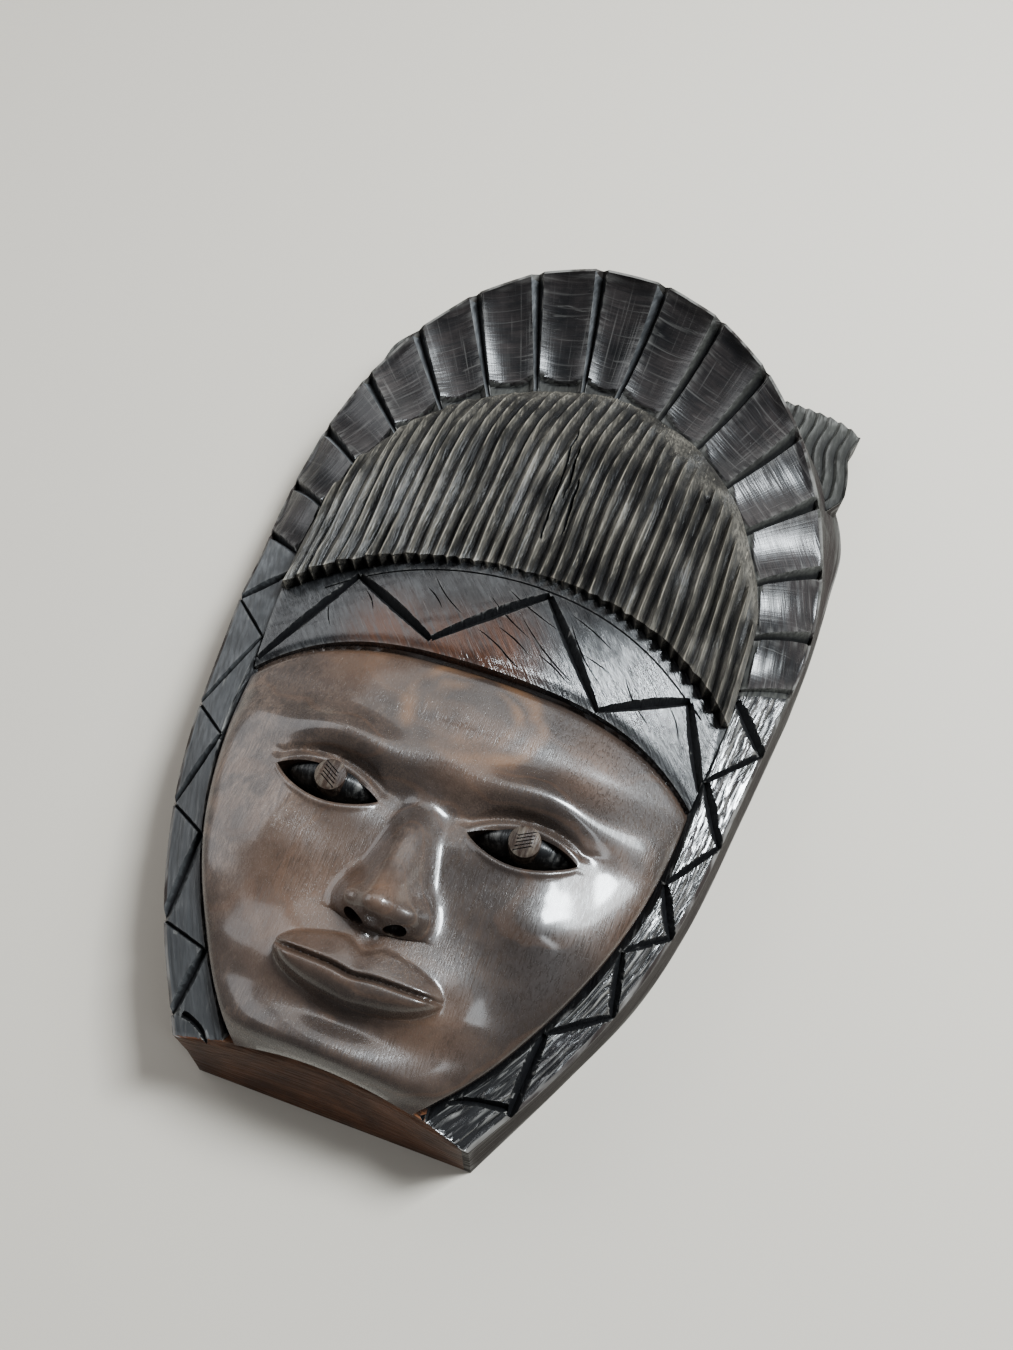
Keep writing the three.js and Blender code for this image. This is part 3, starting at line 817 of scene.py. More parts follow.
def hair_block():
    """A low block behind the crown, carved in overlapping layers."""
    columns = HAIR_RIBS * HAIR_COLUMNS

    def place(column, row):
        t = 2 * column / columns - 1
        v = row / HAIR_ROWS
        side = -1 if t < 0 else 1
        top = HAIR_TOP_Y - 4 * t * t - (8 if side < 0 else 6.6) * t ** 12
        y = lerp(HAIR_BASE_Y, top, v)
        inset = HAIR_LEFT_SLOPE if side < 0 else 0
        k, step = divmod(column, HAIR_COLUMNS)
        layer = 1 - step / HAIR_COLUMNS
        height = lerp(HAIR_BASE_Z, HAIR_EDGE_Z, v) + HAIR_LAYER * layer + 0.15 * grain(k * 3.1, y / 7)
        return Vector((t * (hair_side(y, side) - inset), y, height))

    def finish(face):
        return HAIR if face.normal.z > 0.3 else WALL

    return give_finish(block(sheet(columns, HAIR_ROWS, place), 0), finish)


# Zigzag cuts
def v_cut(path, width, depth, seed, swell=0.0, finish=CUT):
    """A ragged V cut along a row of points, steeper on its right, and wider in the middle by the swell."""
    steps = len(path) - 1

    def place(column, row):
        here = path[row]
        way = (path[min(row + 1, steps)] - path[max(row - 1, 0)]).to_2d().normalized()
        if way.y > 0:
            way = -way
        ragged = 1 + 0.14 * grain(row * 0.8, column * 5, seed) + swell * math.sin(math.pi * row / steps)
        across, height = ((-width * 2, depth), (width * 2, depth), (0.35 * width, -depth))[column]
        across *= ragged
        return Vector((here.x + way.y * across, here.y - way.x * across, here.z + height))

    return give_finish(tube(3, steps, place), finish)


def band_cuts():
    cuts = []
    for i in range(1, len(BAND_TURNS)):
        (x0, y0), (x1, y1) = BAND_TURNS[i - 1], BAND_TURNS[i]
        path = []
        for k in range(17):
            x = lerp(x0, x1, k / 16)
            path.append(Vector((x, lerp(y0, y1, k / 16), band_height(x) + BAND_CUT_LIFT)))
        cuts.append(v_cut(path, BAND_CUT_WIDTH, BAND_CUT_DEPTH, i * 7, 0.4))
    return cuts


def band_surface(x, y):
    low = band_low_y(x)
    v = (y - low) / (band_high_y(x) - low)
    return Vector((x, y, band_height(x) + band_swell(v)))


def band_scores():
    """A fine line round the headband under the cap, and the long scratches that the gouge left."""
    border = []
    for k in range(BORDER_STEPS + 1):
        x = lerp(-66, 74, k / BORDER_STEPS)
        v = lerp(0.81, 0.69, min(1, (x / 66) ** 2))
        border.append(band_surface(x, lerp(band_low_y(x), band_high_y(x), v)))
    top = max(range(BORDER_STEPS + 1), key=lambda k: border[k].y)
    cuts = [v_cut(path, BORDER_WIDTH, BORDER_DEPTH, 31) for path in (border[top::-1], border[top:])]
    for i, (x0, y0, x1, y1) in enumerate(SCORES):
        bow = 0.06 * (y0 - y1) * (-1) ** i
        spots = []
        for k in range(13):
            sag = bow * math.sin(math.pi * k / 12)
            spots.append(band_surface(lerp(x0, x1, k / 12) + sag, lerp(y0, y1, k / 12) + sag))
        cuts.append(thin_cut(spots, SCORE_WIDTH, SCORE_DEPTH, i * 3 + 7))
    return cuts


def side_spot(curve, y):
    """The point of a side curve at y, found by halving."""
    low, high = 0, 1
    for _ in range(20):
        half = (low + high) / 2
        if curve(half).y < y:
            low = half
        else:
            high = half
    return curve(low)


SIDE_TURNS = {
    -1: {"outer": (-9, -53, -89, -125, -150), "inner": (5, -23, -62, -96, -129)},
    1: {"outer": (-5, -42, -76, -105, -142), "inner": (10, -23, -61, -86, -117)},
}
DOWN_CUT_WIDTHS = {-1: (1.2, 0.7, 0.9, 1.5, 1.3), 1: (1.7, 1.5, 1.5, 1.4, 1.5)}
UP_CUT_WIDTHS = {-1: (0.6, 0.6, 0.6, 0.6), 1: (1.1, 1.1, 1.2, 1.1)}
DOWN_CUT_DEPTH = 3.0
UP_CUT_DEPTH = 2.2


def side_cuts():
    """Zigzags down both side bands, with one curved cut closing each of them at the chin."""
    cuts = []
    for side, turns in SIDE_TURNS.items():
        outer = [flank(side, side_spot(rim_side_curve, y)) for y in turns["outer"]]
        inner = [mirrored(side, side_spot(inner_side_curve, y)) for y in turns["inner"]]
        finish = CUT if side > 0 else SLATY
        for i in range(5):
            path = [inner[i].lerp(outer[i], k / 10) for k in range(11)]
            cuts.append(v_cut(path, DOWN_CUT_WIDTHS[side][i], DOWN_CUT_DEPTH, i * 5 + side, 0.35, finish))
        for i in range(4):
            path = [outer[i].lerp(inner[i + 1], k / 10) for k in range(11)]
            cuts.append(v_cut(path, UP_CUT_WIDTHS[side][i], UP_CUT_DEPTH, i * 5 + side + 50, 0, finish))
    for ends in CHIN_CUTS:
        path = [curve_through(ends)(k / 10) for k in range(11)]
        cuts.append(v_cut(path, CHIN_CUT_WIDTH, CHIN_CUT_DEPTH, 77))
    return cuts


# Hollow
def hollow():
    """An egg-shaped bowl, narrower toward the chin, left rough by the adze."""
    around, rings = 100, 26

    def place(column, row):
        turn = 2 * math.pi * column / around
        t = 1 if row == 0 else math.cos((row - 1) / (rings - 1) * math.pi * 0.495)
        x = HOLLOW_HALF_WIDTH * math.cos(turn) * (1 + HOLLOW_TAPER * math.sin(turn)) * t
        y = HOLLOW_CENTRE_Y + HOLLOW_HALF_LENGTH * math.sin(turn) * t
        if row == 0:
            return Vector((x, y, BELOW_BACK_Z))
        z = HOLLOW_DEPTH * (1 - t ** 3) ** 0.6
        scallop = SCALLOP_DEPTH * strokes(y, x, 22, 9, 60) * smoothstep(z, 3, 12)
        return Vector((x, y, z - scallop))

    return give_finish(tube(around, rings, place), RAW)


# Carving: the blocks are joined and the cuts taken out
SHARP_ANGLE = 42


def to_object(name, bm, materials):
    mesh = bpy.data.meshes.new(name)
    bm.to_mesh(mesh)
    bm.free()
    for material in materials:
        mesh.materials.append(material)
    obj = bpy.data.objects.new(name, mesh)
    bpy.context.scene.collection.objects.link(obj)
    return obj


def combine(target, tools, operation):
    """Joins tools to the target or cuts them out of it, one after another, and removes them."""
    for tool in tools:
        modifier = target.modifiers.new("carve", "BOOLEAN")
        modifier.operation = operation
        modifier.solver = "MANIFOLD"
        modifier.object = tool
        depsgraph = bpy.context.evaluated_depsgraph_get()
        carved = bpy.data.meshes.new_from_object(target.evaluated_get(depsgraph))
        target.modifiers.clear()
        old = target.data
        target.data = carved
        bpy.data.meshes.remove(old)
        spent = tool.data
        bpy.data.objects.remove(tool)
        bpy.data.meshes.remove(spent)


def carve(materials):
    def objects(shapes):
        return [to_object(f"tool_{k}", bm, materials) for k, bm in enumerate(shapes)]

    mask = to_object("carved_mask", body(), materials)
    combine(mask, objects([hair_block(), face(), headband(), cap()]), "UNION")
    cuts = band_cuts() + band_scores() + side_cuts() + cap_cracks()
    cuts += [almond(-1), almond(1), nostril(-1), nostril(1), hollow()]
    combine(mask, objects(cuts), "DIFFERENCE")
    combine(mask, objects([eyeball(-1), eyeball(1), iris(-1), iris(1)]), "UNION")
    combine(mask, objects(iris_hatching(-1) + iris_hatching(1)), "DIFFERENCE")
    mask.data.transform(Matrix.Scale(MM, 4) @ Matrix.Translation(CARVING_MIDDLE))
    mask.data.set_sharp_from_angle(angle=math.radians(SHARP_ANGLE))
    return mask


# Node helpers
def fill(tree, node, values):
    """Sets or links a node's inputs."""
    for key, value in values.items():
        if isinstance(value, bpy.types.NodeSocket):
            tree.links.new(value, node.inputs[key])
        else:
            node.inputs[key].default_value = value
    return node


def put(tree, kind, values, **settings):
    """Adds a node, sets its options, and sets or links its inputs."""
    node = tree.nodes.new("ShaderNode" + kind)
    for key, value in settings.items():
        setattr(node, key, value)
    return fill(tree, node, values)


def maths(tree, operation, *values, bound=False):
    return put(tree, "Math", dict(enumerate(values)), operation=operation, use_clamp=bound).outputs[0]


def times(tree, a, b):
    return maths(tree, "MULTIPLY", a, b)


def plus(tree, a, b):
    return maths(tree, "ADD", a, b)


def vectors(tree, operation, a, b):
    return put(tree, "VectorMath", {0: a, 1: b}, operation=operation).outputs[0]


def joined(tree, x, y, z):
    return put(tree, "CombineXYZ", {"X": x, "Y": y, "Z": z}).outputs[0]


def axes_of(tree, vector):
    return put(tree, "SeparateXYZ", {"Vector": vector}).outputs


def spread(tree, value, low, high, out_low=0.0, out_high=1.0):
    """Maps values between low and high to a new range, softly at both ends."""
    values = {"Value": value, "From Min": low, "From Max": high, "To Min": out_low, "To Max": out_high}
    return put(tree, "MapRange", values, interpolation_type="SMOOTHSTEP").outputs[0]


def blend(tree, factor, a, b):
    return put(tree, "Mix", {0: factor, 6: a, 7: b}, data_type="RGBA").outputs[2]


def cloudy(tree, vector, scale=1.0, detail=2.0, rough=0.5):
    """Smooth noise from 0 to 1."""
    values = {"Vector": vector, "Scale": scale, "Detail": detail, "Roughness": rough}
    return put(tree, "TexNoise", values).outputs[0]


def layered(tree, base, *layers):
    """Lays colours over a base one after another, each by its own share."""
    for share, tint in layers:
        base = blend(tree, share, base, tint)
    return base


def largest(tree, *values):
    """The largest of some values and zero."""
    most = 0.0
    for value in values:
        most = maths(tree, "MAXIMUM", most, value)
    return most


def colour(red, green, blue):
    return (red, green, blue, 1)


WARM_SPOTS = ((4, -9, 51), (-14, -14, 51), (-36, -14, 48))
WARM_REACH = 24
WARM_PATCHES = (
    ((-25, -104, 50), 42), ((0, -97, 66), 13), ((62, -76, 42), 24), ((-38, -22, 46), 26),
    ((8, -45, 52), 22), ((46, -36, 44), 20), ((24, -128, 44), 22),
)
SWIRL_MIDDLE = (3, -32, 52)
SWIRL_ARCS = ((16.0, 3.6), (22.5, 4.2))
# Crown panel lines, rings and tool chatter; their pale colour is partly a painted highlight
PANEL_LINES_AND_GLINTS = ((1.1, 0.02, 0.0, 0.8), (0.03, 1.1, 3.0, 0.4))
POLAR_RADIUS = 110.0
FACE_DARK = colour(0.012, 0.009, 0.0075)
FACE_BROWN = colour(0.108, 0.074, 0.055)
FACE_UMBER = colour(0.018, 0.012, 0.010)
FACE_WARM = colour(0.155, 0.073, 0.033)
FACE_GOLD = colour(0.15, 0.072, 0.030)
COAL = colour(0.0035, 0.0035, 0.004)
COAL_GREY = colour(0.011, 0.0115, 0.012)
SLATE_DARK = colour(0.020, 0.021, 0.022)
SLATE = colour(0.040, 0.041, 0.042)
SLATE_LIGHT = colour(0.115, 0.118, 0.122)
ASH = colour(0.30, 0.29, 0.27)
BROWN_GREY = colour(0.108, 0.098, 0.081)
RIB_DARK = colour(0.013, 0.012, 0.0105)
RUST = colour(0.062, 0.025, 0.013)
CROWN_BROWN = colour(0.030, 0.025, 0.024)
DARK_BROWN = colour(0.019, 0.0145, 0.0135)
IRIS_BROWN = colour(0.045, 0.026, 0.016)
TAN = colour(0.31, 0.275, 0.22)
HAIR_DARK = colour(0.018, 0.0175, 0.016)
HAIR_GREY = colour(0.044, 0.044, 0.039)
WALL_BROWN = colour(0.029, 0.024, 0.0205)
RAW_DARK = colour(0.032, 0.0125, 0.0065)
RAW_BROWN = colour(0.13, 0.050, 0.021)


def place_of(tree, centre=CARVING_MIDDLE, turn=(0, 0, 0)):
    """Object coordinates in millimetres, measured from a centre and turned."""
    where = put(tree, "TexCoord", {}).outputs["Object"]
    moved = vectors(tree, "MULTIPLY", where, (1000, 1000, 1000))
    moved = vectors(tree, "SUBTRACT", moved, centre)
    return put(tree, "Mapping", {"Vector": moved, "Rotation": turn}).outputs[0]


def new_group(name, numbers, outputs):
    """A node group with a Vector input, named number inputs and named number outputs."""
    group = bpy.data.node_groups.new(name, "ShaderNodeTree")
    group.interface.new_socket("Vector", in_out="INPUT", socket_type="NodeSocketVector")
    for label, value in numbers.items():
        socket = group.interface.new_socket(label, in_out="INPUT", socket_type="NodeSocketFloat")
        socket.default_value = value
    for label in outputs:
        group.interface.new_socket(label, in_out="OUTPUT", socket_type="NodeSocketFloat")
    return group, group.nodes.new("NodeGroupInput").outputs, group.nodes.new("NodeGroupOutput").inputs


def use(tree, group, **values):
    node = tree.nodes.new("ShaderNodeGroup")
    node.node_tree = group
    return fill(tree, node, values).outputs


def make_fibre():
    """Fine fibres and pores running along Y."""
    group, given, out = new_group("wood_fibre", {"Across": 2.0, "Along": 0.06}, ["Streaks", "Pores"])
    stretch = joined(group, given["Across"], given["Along"], given["Across"])
    vector = vectors(group, "MULTIPLY", given["Vector"], stretch)
    streaks = cloudy(group, vector, 1.0, 5.0, 0.62)
    group.links.new(streaks, out["Streaks"])
    fine = vectors(group, "MULTIPLY", vector, (2.3, 2.3, 2.3))
    pores = cloudy(group, fine, 1.0, 2.0)
    group.links.new(spread(group, pores, 0.58, 0.72), out["Pores"])
    return group


def make_rings():
    """Growth rings round an axis below the carving, seen as narrow contour bands."""
    group, given, out = new_group("growth_rings", {"Spacing": 5.0, "Wobble": 4.0}, ["Line"])
    axes = axes_of(group, given["Vector"])
    x = maths(group, "SUBTRACT", axes["X"], 6.0)
    z = times(group, plus(group, axes["Z"], 25.0), 1.6)
    away = maths(group, "SQRT", plus(group, times(group, x, x), times(group, z, z)))
    wave = cloudy(group, given["Vector"], 0.022, 3.0)
    wave = times(group, maths(group, "SUBTRACT", wave, 0.5), given["Wobble"])
    turns = maths(group, "DIVIDE", plus(group, away, wave), given["Spacing"])
    bands = maths(group, "SINE", times(group, turns, 6.2832))
    group.links.new(spread(group, bands, 0.82, 1.0), out["Line"])
    return group


def make_gouge():
    """Gouge cuts: long shallow strokes along Y that bend a little, coarse and fine together."""
    group, given, out = new_group("gouge_cuts", {"Length": 14.0, "Width": 1.6}, ["Scoops", "Scratches"])
    bend = put(group, "TexNoise", {"Vector": given["Vector"], "Scale": 0.06, "Detail": 2.0}).outputs[1]
    bend = put(group, "VectorMath", {0: bend, "Scale": given["Width"]}, operation="SCALE").outputs[0]
    bent = vectors(group, "ADD", given["Vector"], bend)
    across = maths(group, "DIVIDE", 1.0, given["Width"])
    along = maths(group, "DIVIDE", 1.0, given["Length"])
    stretch = joined(group, across, along, 0.15)
    vector = vectors(group, "MULTIPLY", bent, stretch)
    coarse = cloudy(group, vector, 1.0, 1.0, 0.5)
    folded = maths(group, "ABSOLUTE", maths(group, "SUBTRACT", coarse, 0.5))
    group.links.new(times(group, folded, 2.6), out["Scoops"])
    thin = vectors(group, "MULTIPLY", vector, (3.0, 1.6, 3.0))
    fine = cloudy(group, thin, 1.0, 3.0, 0.7)
    group.links.new(fine, out["Scratches"])
    return group


def make_wear_and_painted_light():
    """Edges painted pale, partly rubbed wear and partly a painted highlight on lit edges, and hollows
    painted dark as painted shade, both from how sharply the surface bends.
    """
    group, given, out = new_group("edge_wear_and_painted_light", {"Start": 0.0, "Reach": 0.06}, ["Edge", "Hollow"])
    bend = put(group, "NewGeometry", {}).outputs["Pointiness"]
    long = vectors(group, "MULTIPLY", given["Vector"], (0.5, 0.07, 0.5))
    patch = cloudy(group, long, 1.0, 4.0)
    patch = spread(group, patch, 0.4, 0.62)
    # Edges: pale wear and a painted highlight where the surface bends outward
    sharp = spread(group, bend, plus(group, 0.5, given["Start"]), plus(group, 0.5, given["Reach"]))
    group.links.new(times(group, sharp, patch), out["Edge"])
    # Hollows: painted shade where the surface bends inward
    deep = plus(group, maths(group, "SUBTRACT", 0.5, given["Reach"]), given["Start"])
    group.links.new(spread(group, bend, 0.5, deep), out["Hollow"])
    return group


def make_flecks():
    """Pale dust flecks and scratches caught on rough wood."""
    group, given, out = new_group("dust_flecks", {"Amount": 0.5}, ["Flecks"])
    fine = vectors(group, "MULTIPLY", given["Vector"], (1.6, 0.5, 1.6))
    specks = cloudy(group, fine, 1.0, 5.0, 0.75)
    patch = cloudy(group, given["Vector"], 0.07, 2.0)
    limit = maths(group, "SUBTRACT", 0.72, times(group, given["Amount"], patch))
    high = plus(group, limit, 0.12)
    group.links.new(spread(group, specks, limit, high), out["Flecks"])
    return group


fibre, rings, gouge, wear_and_painted_light, flecks = make_fibre(), make_rings(), make_gouge(), make_wear_and_painted_light(), make_flecks()


def new_material(name):
    material = bpy.data.materials.new(name)
    material.use_nodes = True
    return material, material.node_tree, material.node_tree.nodes["Principled BSDF"]


def bump(tree, shader, height, strength, distance):
    node = put(tree, "Bump", {"Height": height, "Strength": strength, "Distance": distance})
    tree.links.new(node.outputs[0], shader.inputs["Normal"])


def near(tree, where, centre, reach):
    """A soft round patch at a place on the carving, 1 in its middle."""
    away = put(tree, "VectorMath", {0: where, 1: centre}, operation="DISTANCE").outputs["Value"]
    return spread(tree, away, reach, 0.0)


def forehead_swirl(tree, where):
    """Soft arcs of growth rings round a high spot between the brows."""
    flat = vectors(tree, "SUBTRACT", where, SWIRL_MIDDLE)
    flat = vectors(tree, "MULTIPLY", flat, (0.8, 1.15, 0.2))
    away = put(tree, "VectorMath", {0: flat}, operation="LENGTH").outputs["Value"]
    wave = cloudy(tree, where, 0.07, 4.0)
    away = plus(tree, away, times(tree, wave, 9.0))
    arcs = []
    for radius, width in SWIRL_ARCS:
        off = maths(tree, "ABSOLUTE", maths(tree, "SUBTRACT", away, radius))
        arcs.append(spread(tree, off, width, 0.0))
    patch = cloudy(tree, where, 0.05, 2.0)
    return times(tree, largest(tree, *arcs), spread(tree, patch, 0.36, 0.64))


def polished_face():
    """The face's wood, rubbed smooth: dark brown with warm patches under a thin coat of polish."""
    material, tree, shader = new_material("polished_face")
    where = place_of(tree)
    fibres = use(tree, fibre, Vector=where, Across=2.2, Along=0.16)
    streaks = fibres["Streaks"]
    ring = use(tree, rings, Vector=where, Spacing=9.0, Wobble=26.0)
    mottle = cloudy(tree, where, 0.09, 6.0, 0.65)
    cloud = cloudy(tree, where, 0.022, 3.0, 0.55)
    left = spread(tree, axes_of(tree, where)["X"], 45.0, -60.0)
    brown = maths(tree, "MULTIPLY", spread(tree, cloud, 0.34, 0.66), plus(tree, 0.4, left), bound=True)
    brown = maths(tree, "MAXIMUM", brown, times(tree, left, 0.6))
    warmth = largest(tree, *(near(tree, where, centre, reach) for centre, reach in WARM_PATCHES))
    warmth = times(tree, warmth, spread(tree, streaks, 0.15, 0.8))
    base = layered(
        tree, FACE_DARK,
        (brown, FACE_BROWN),
        (spread(tree, mottle, 0.40, 0.62, 0.0, 0.65), FACE_DARK),
        (spread(tree, streaks, 0.35, 0.65, 0.0, 0.75), FACE_UMBER),
        (times(tree, warmth, 0.4), FACE_WARM),
        (times(tree, forehead_swirl(tree, where), 0.5), FACE_GOLD),
        (times(tree, ring["Line"], 0.08), FACE_WARM),
    )
    fill(tree, shader, {
        "Base Color": base,
        "Roughness": spread(tree, streaks, 0.35, 0.65, 0.24, 0.46),
        "Coat Weight": spread(tree, cloud, 0.2, 0.8, 0.65, 0.4),
        "Specular IOR Level": 0.38,
        "Coat Roughness": 0.13,
        "Coat IOR": 1.65,
    })
    height = maths(tree, "SUBTRACT", streaks, times(tree, fibres["Pores"], 0.3))
    bump(tree, shader, height, 0.6, 0.0002)
    return material


def carved_wood(
    name, dark, light, marks, cut_size, cut_depth, gloss, fibre_size=(0.8, 0.07), warm=0.0, dust=0.25,
    rubbed=0.3, shine=0.5, scratch=0.6, scoops=1.0, scored=0.1, pale=ASH, coat=0.0, edge=0.0, blur=0.15,
    top=None, extra=None,
):
    """Blackened carved wood: tool marks, fibres, edges painted pale as rubbed wear and as painted highlight,
    hollows darkened as painted shade, pale scores and dust.
    """
    material, tree, shader = new_material(name)
    where = place_of(tree)
    way = marks(tree)
    streaks = use(tree, fibre, Vector=way, Across=fibre_size[0], Along=fibre_size[1])["Streaks"]
    # worn holds the pale edges, rubbed wear with a painted highlight, and the hollows' painted shade
    worn = use(tree, wear_and_painted_light, Vector=way, Start=edge, Reach=edge + 0.05)
    cut = use(tree, gouge, Vector=way, Length=cut_size[0], Width=cut_size[1])
    height = times(tree, cut["Scoops"], scoops)
    height = plus(tree, height, times(tree, cut["Scratches"], scratch))
    height = plus(tree, height, times(tree, streaks, 0.3))
    scores = spread(tree, cut["Scratches"], 0.60, 0.72)
    # the crown's extra pale lines are partly a painted highlight
    if extra:
        more, lines = extra(tree)
        height = plus(tree, height, more)
        scores = maths(tree, "MAXIMUM", scores, lines)
    cloud = cloudy(tree, where, 0.05, 4.0, 0.6)
    if top:
        up = axes_of(tree, where)["Y"]
        light = blend(tree, spread(tree, up, -90.0, 60.0), light, top)
    base = layered(
        tree, dark,
        (spread(tree, cloud, 0.3, 0.7), light),
        (spread(tree, streaks, 0.5 - blur, 0.5 + blur, 0.0, 0.7), dark),
    )
    if warm:
        rust = largest(tree, *(near(tree, where, spot, WARM_REACH) for spot in WARM_SPOTS))
        patch = spread(tree, streaks, 0.3, 0.6, 0.3, warm)
        base = blend(tree, times(tree, rust, patch), base, RUST)
    speck = use(tree, flecks, Vector=where, Amount=dust)["Flecks"]
    base = layered(
        tree, base,
        (times(tree, scores, scored), pale),
        # edges painted pale: rubbed wear and a painted highlight on lit edges and crests
        (times(tree, worn["Edge"], rubbed), pale),
        # hollows painted near black: painted shade
        (times(tree, worn["Hollow"], 0.85), COAL),
        (times(tree, speck, 0.5), ASH),
    )
    fill(tree, shader, {
        "Base Color": base,
        "Roughness": plus(tree, spread(tree, streaks, 0.25, 0.75, *gloss), times(tree, speck, 0.2)),
        "Specular IOR Level": shine,
        "Coat Weight": coat,
        "Coat Roughness": 0.12,
        "Coat IOR": 1.8,
    })
    bump(tree, shader, height, 0.6, cut_depth)
    return material


def crown_polar(tree):
    """Coordinates that run out from the middle of the crown (X) and round it (Y), in millimetres."""
    where = place_of(tree, centre=(0, VALLEY_CENTRE_Y - MIDDLE_Y, 0))
    axes = axes_of(tree, where)
    out = maths(tree, "SQRT", plus(tree, times(tree, axes["X"], axes["X"]),
                                    times(tree, axes["Y"], axes["Y"])))
    round_ = times(tree, maths(tree, "ARCTAN2", axes["X"], axes["Y"]), POLAR_RADIUS)
    return out, round_


def crown_marks(tree):
    out, round_ = crown_polar(tree)
    return joined(tree, out, round_, 0.0)


def crown_lines(tree):
    """Rings of the wood and fine tool chatter on each panel: their height and their pale lines, which are
    partly a painted highlight where the chatter catches light.
    """
    out, round_ = crown_polar(tree)
    heights, pale = [], []
    for across, along, depth, share in PANEL_LINES_AND_GLINTS:
        way = joined(tree, times(tree, out, across), times(tree, round_, along), depth)
        lines = cloudy(tree, way, 1.0, 2.0, 0.6)
        heights.append(times(tree, lines, share))
        pale.append(spread(tree, lines, 0.58, 0.72))
    return plus(tree, *heights), largest(tree, *pale)


def side_marks(tree):
    """Marks that follow both side bands down to the chin."""
    axes = axes_of(tree, place_of(tree))
    folded = joined(tree, maths(tree, "ABSOLUTE", axes["X"]), axes["Y"], axes["Z"])
    return put(tree, "Mapping", {"Vector": folded, "Rotation": (0, 0, 0.4)}).outputs[0]


def headband_marks(tree):
    return place_of(tree, turn=(0, 0, -0.75))


def straight_marks(tree):
    return place_of(tree)


def wall_marks(tree):
    """Marks that run round the side walls."""
    up = axes_of(tree, place_of(tree, (0, 0, 0)))["Z"]
    return joined(tree, up, crown_polar(tree)[1], 0.0)


def sawn_marks(tree):
    """Saw marks along the flat cut of the chin."""
    return place_of(tree, (0, 0, 0), (0, 0, math.pi / 2))


# Each carved finish: dark and light colour, marks, size and depth of the cuts, gloss, and the rest
WOODS = {
    "crown_wood": (COAL, CROWN_BROWN, crown_marks, (40, 4), 0.00022, (0.22, 0.34), dict(
        dust=0.12, fibre_size=(1.0, 0.04), rubbed=0.12, shine=0.4, scoops=0.15, scored=0.13,
        extra=crown_lines)),
    "side_band_wood": (COAL, COAL_GREY, side_marks, (70, 2.2), 0.0008, (0.14, 0.26), dict(
        dust=0.15, rubbed=0.5, scratch=0.5, scored=0.15, shine=0.8, coat=0.7)),
    "wall_wood": (DARK_BROWN, WALL_BROWN, wall_marks, (26, 3), 0.0006, (0.6, 0.8), dict(
        dust=0.08, fibre_size=(0.7, 0.05), rubbed=0.35, shine=0.05, top=HAIR_GREY)),
    "ribbed_wood": (RIB_DARK, BROWN_GREY, straight_marks, (22, 1.8), 0.0008, (0.30, 0.46), dict(
        fibre_size=(1.1, 0.09), dust=0.14, rubbed=0.6, shine=0.26, scratch=1.4, scoops=0.3, scored=0.5,
        pale=TAN, edge=0.02, blur=0.06)),
    "headband_wood": (COAL, SLATE, headband_marks, (30, 1.5), 0.0005, (0.14, 0.27), dict(
        warm=0.95, dust=0.1, rubbed=0.12, scratch=0.8, scoops=0.45, scored=0.14)),
    "raw_wood": (RAW_DARK, RAW_BROWN, straight_marks, (40, 1.0), 0.0004, (0.55, 0.75), dict(
        dust=0.03, shine=0.12, scored=0.02)),
    "eye_wood": (FACE_UMBER, IRIS_BROWN, straight_marks, (8, 1.0), 0.0003, (0.35, 0.5), dict(
        dust=0.0, rubbed=0.15, shine=0.15, pale=TAN)),
    "cut_wood": (COAL, COAL_GREY, straight_marks, (8, 1.0), 0.0003, (0.3, 0.5), dict(
        dust=0.05, rubbed=0.6, shine=0.35)),
    "slate_wood": (SLATE_DARK, SLATE, side_marks, (20, 4), 0.0004, (0.38, 0.52), dict(
        dust=0.06, rubbed=0.2, shine=0.3, top=SLATE_LIGHT)),
    "sawn_wood": (RAW_DARK, RAW_BROWN, sawn_marks, (60, 1.2), 0.0007, (0.5, 0.7), dict(
        fibre_size=(0.9, 0.03), dust=0.0, rubbed=0.1, shine=0.12, scored=0.04, pale=TAN)),
    "hair_wood": (HAIR_DARK, HAIR_GREY, straight_marks, (12, 3), 0.0005, (0.55, 0.75), dict(
        dust=0.1, rubbed=0.2, shine=0.1)),
}


def finish_material(name):
    if name not in WOODS:
        return polished_face()
    *plain, more = WOODS[name]
    return carved_wood(name, *plain, **more)


mask = carve([finish_material(name) for name in FINISHES])
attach(mask, "root")
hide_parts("mask")


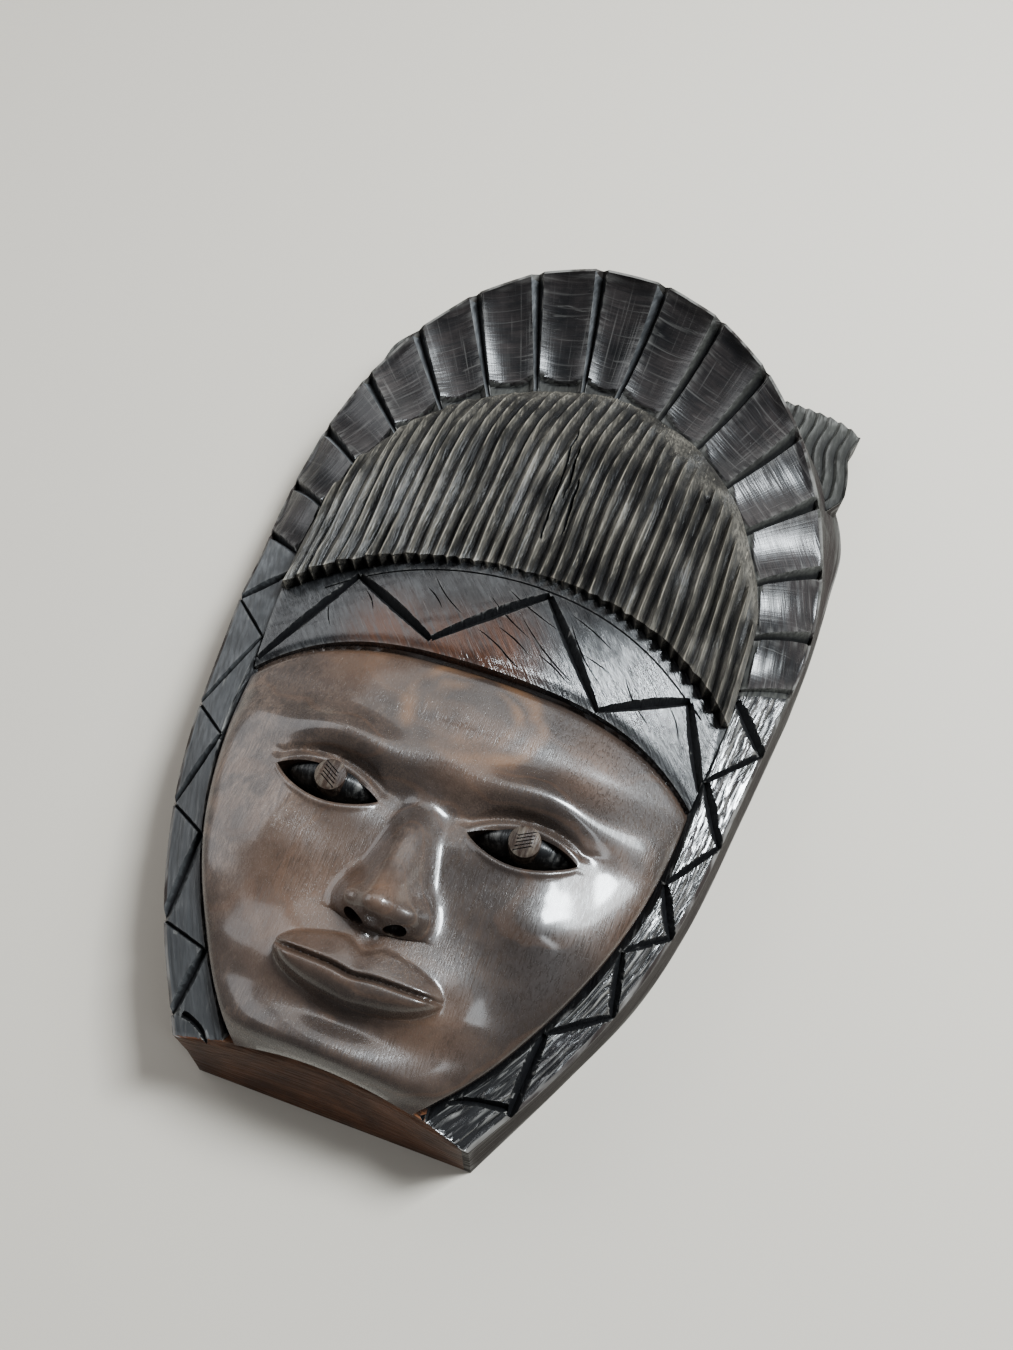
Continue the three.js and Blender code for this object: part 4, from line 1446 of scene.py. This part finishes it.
# Floor, camera and light
FLOOR_SIZE = 4
FLOOR_COLOUR = colour(0.47, 0.43, 0.37)
CAMERA_PLACE = (0.0627, -0.1392, 0.3633)
CAMERA_TURNS = ((23.17, "Z"), (23.68, "X"), (-3.66, "Z"))
LENS = 27.52
SENSOR_WIDTH = 36
LIGHT_AIM = (0, 0, 0.03)
DAYLIGHT = (0.88, 0.95, 1.0)
LIGHTS = {
    "window": ((0.53, 0.43, 1.0), (0.24, 0.36), 38, DAYLIGHT),
    "low_window": ((0.6, -0.18, 1.0), (0.12, 0.28), 1.0, DAYLIGHT),
    "sill": ((0.86, 0.48, 0.92), (0.3, 0.4), 8, (0.9, 0.97, 1.0)),
    "room": ((-0.3, 0.95, 1.2), (1.2, 0.9), 6, (1.0, 0.98, 0.96)),
    "far_wall": ((-1.0, 0.1, 0.7), (0.9, 0.9), 7, (0.95, 0.97, 1.0)),
}
SKY_COLOUR = colour(0.8, 0.83, 0.88)
SKY_STRENGTH = 0.2


def pale_floor():
    material, tree, shader = new_material("pale_floor")
    fill(tree, shader, {"Base Color": FLOOR_COLOUR, "Roughness": 0.85})
    return material


bpy.ops.mesh.primitive_plane_add(size=FLOOR_SIZE)
floor = bpy.context.object
floor.name = "floor"
floor.data.materials.append(pale_floor())

camera_data = bpy.data.cameras.new("camera")
camera = bpy.data.objects.new("camera", camera_data)
bpy.context.scene.collection.objects.link(camera)
first, second, third = [Matrix.Rotation(math.radians(angle), 4, axis) for angle, axis in CAMERA_TURNS]
camera.matrix_world = Matrix.Translation(CAMERA_PLACE) @ (first @ second @ third)
camera_data.lens = LENS
camera_data.sensor_width = SENSOR_WIDTH
bpy.context.scene.camera = camera


def soft_light(name, place, size, power, tint):
    data = bpy.data.lights.new(name, "AREA")
    data.shape = "RECTANGLE"
    data.size, data.size_y = size
    data.energy = power
    data.color = tint
    light = bpy.data.objects.new(name, data)
    bpy.context.scene.collection.objects.link(light)
    light.location = place
    light.rotation_euler = (Vector(LIGHT_AIM) - Vector(place)).to_track_quat("-Z", "Y").to_euler()


for name, values in LIGHTS.items():
    soft_light(name, *values)

world = bpy.data.worlds.new("studio")
world.use_nodes = True
fill(world.node_tree, world.node_tree.nodes["Background"], {"Color": SKY_COLOUR, "Strength": SKY_STRENGTH})
bpy.context.scene.world = world
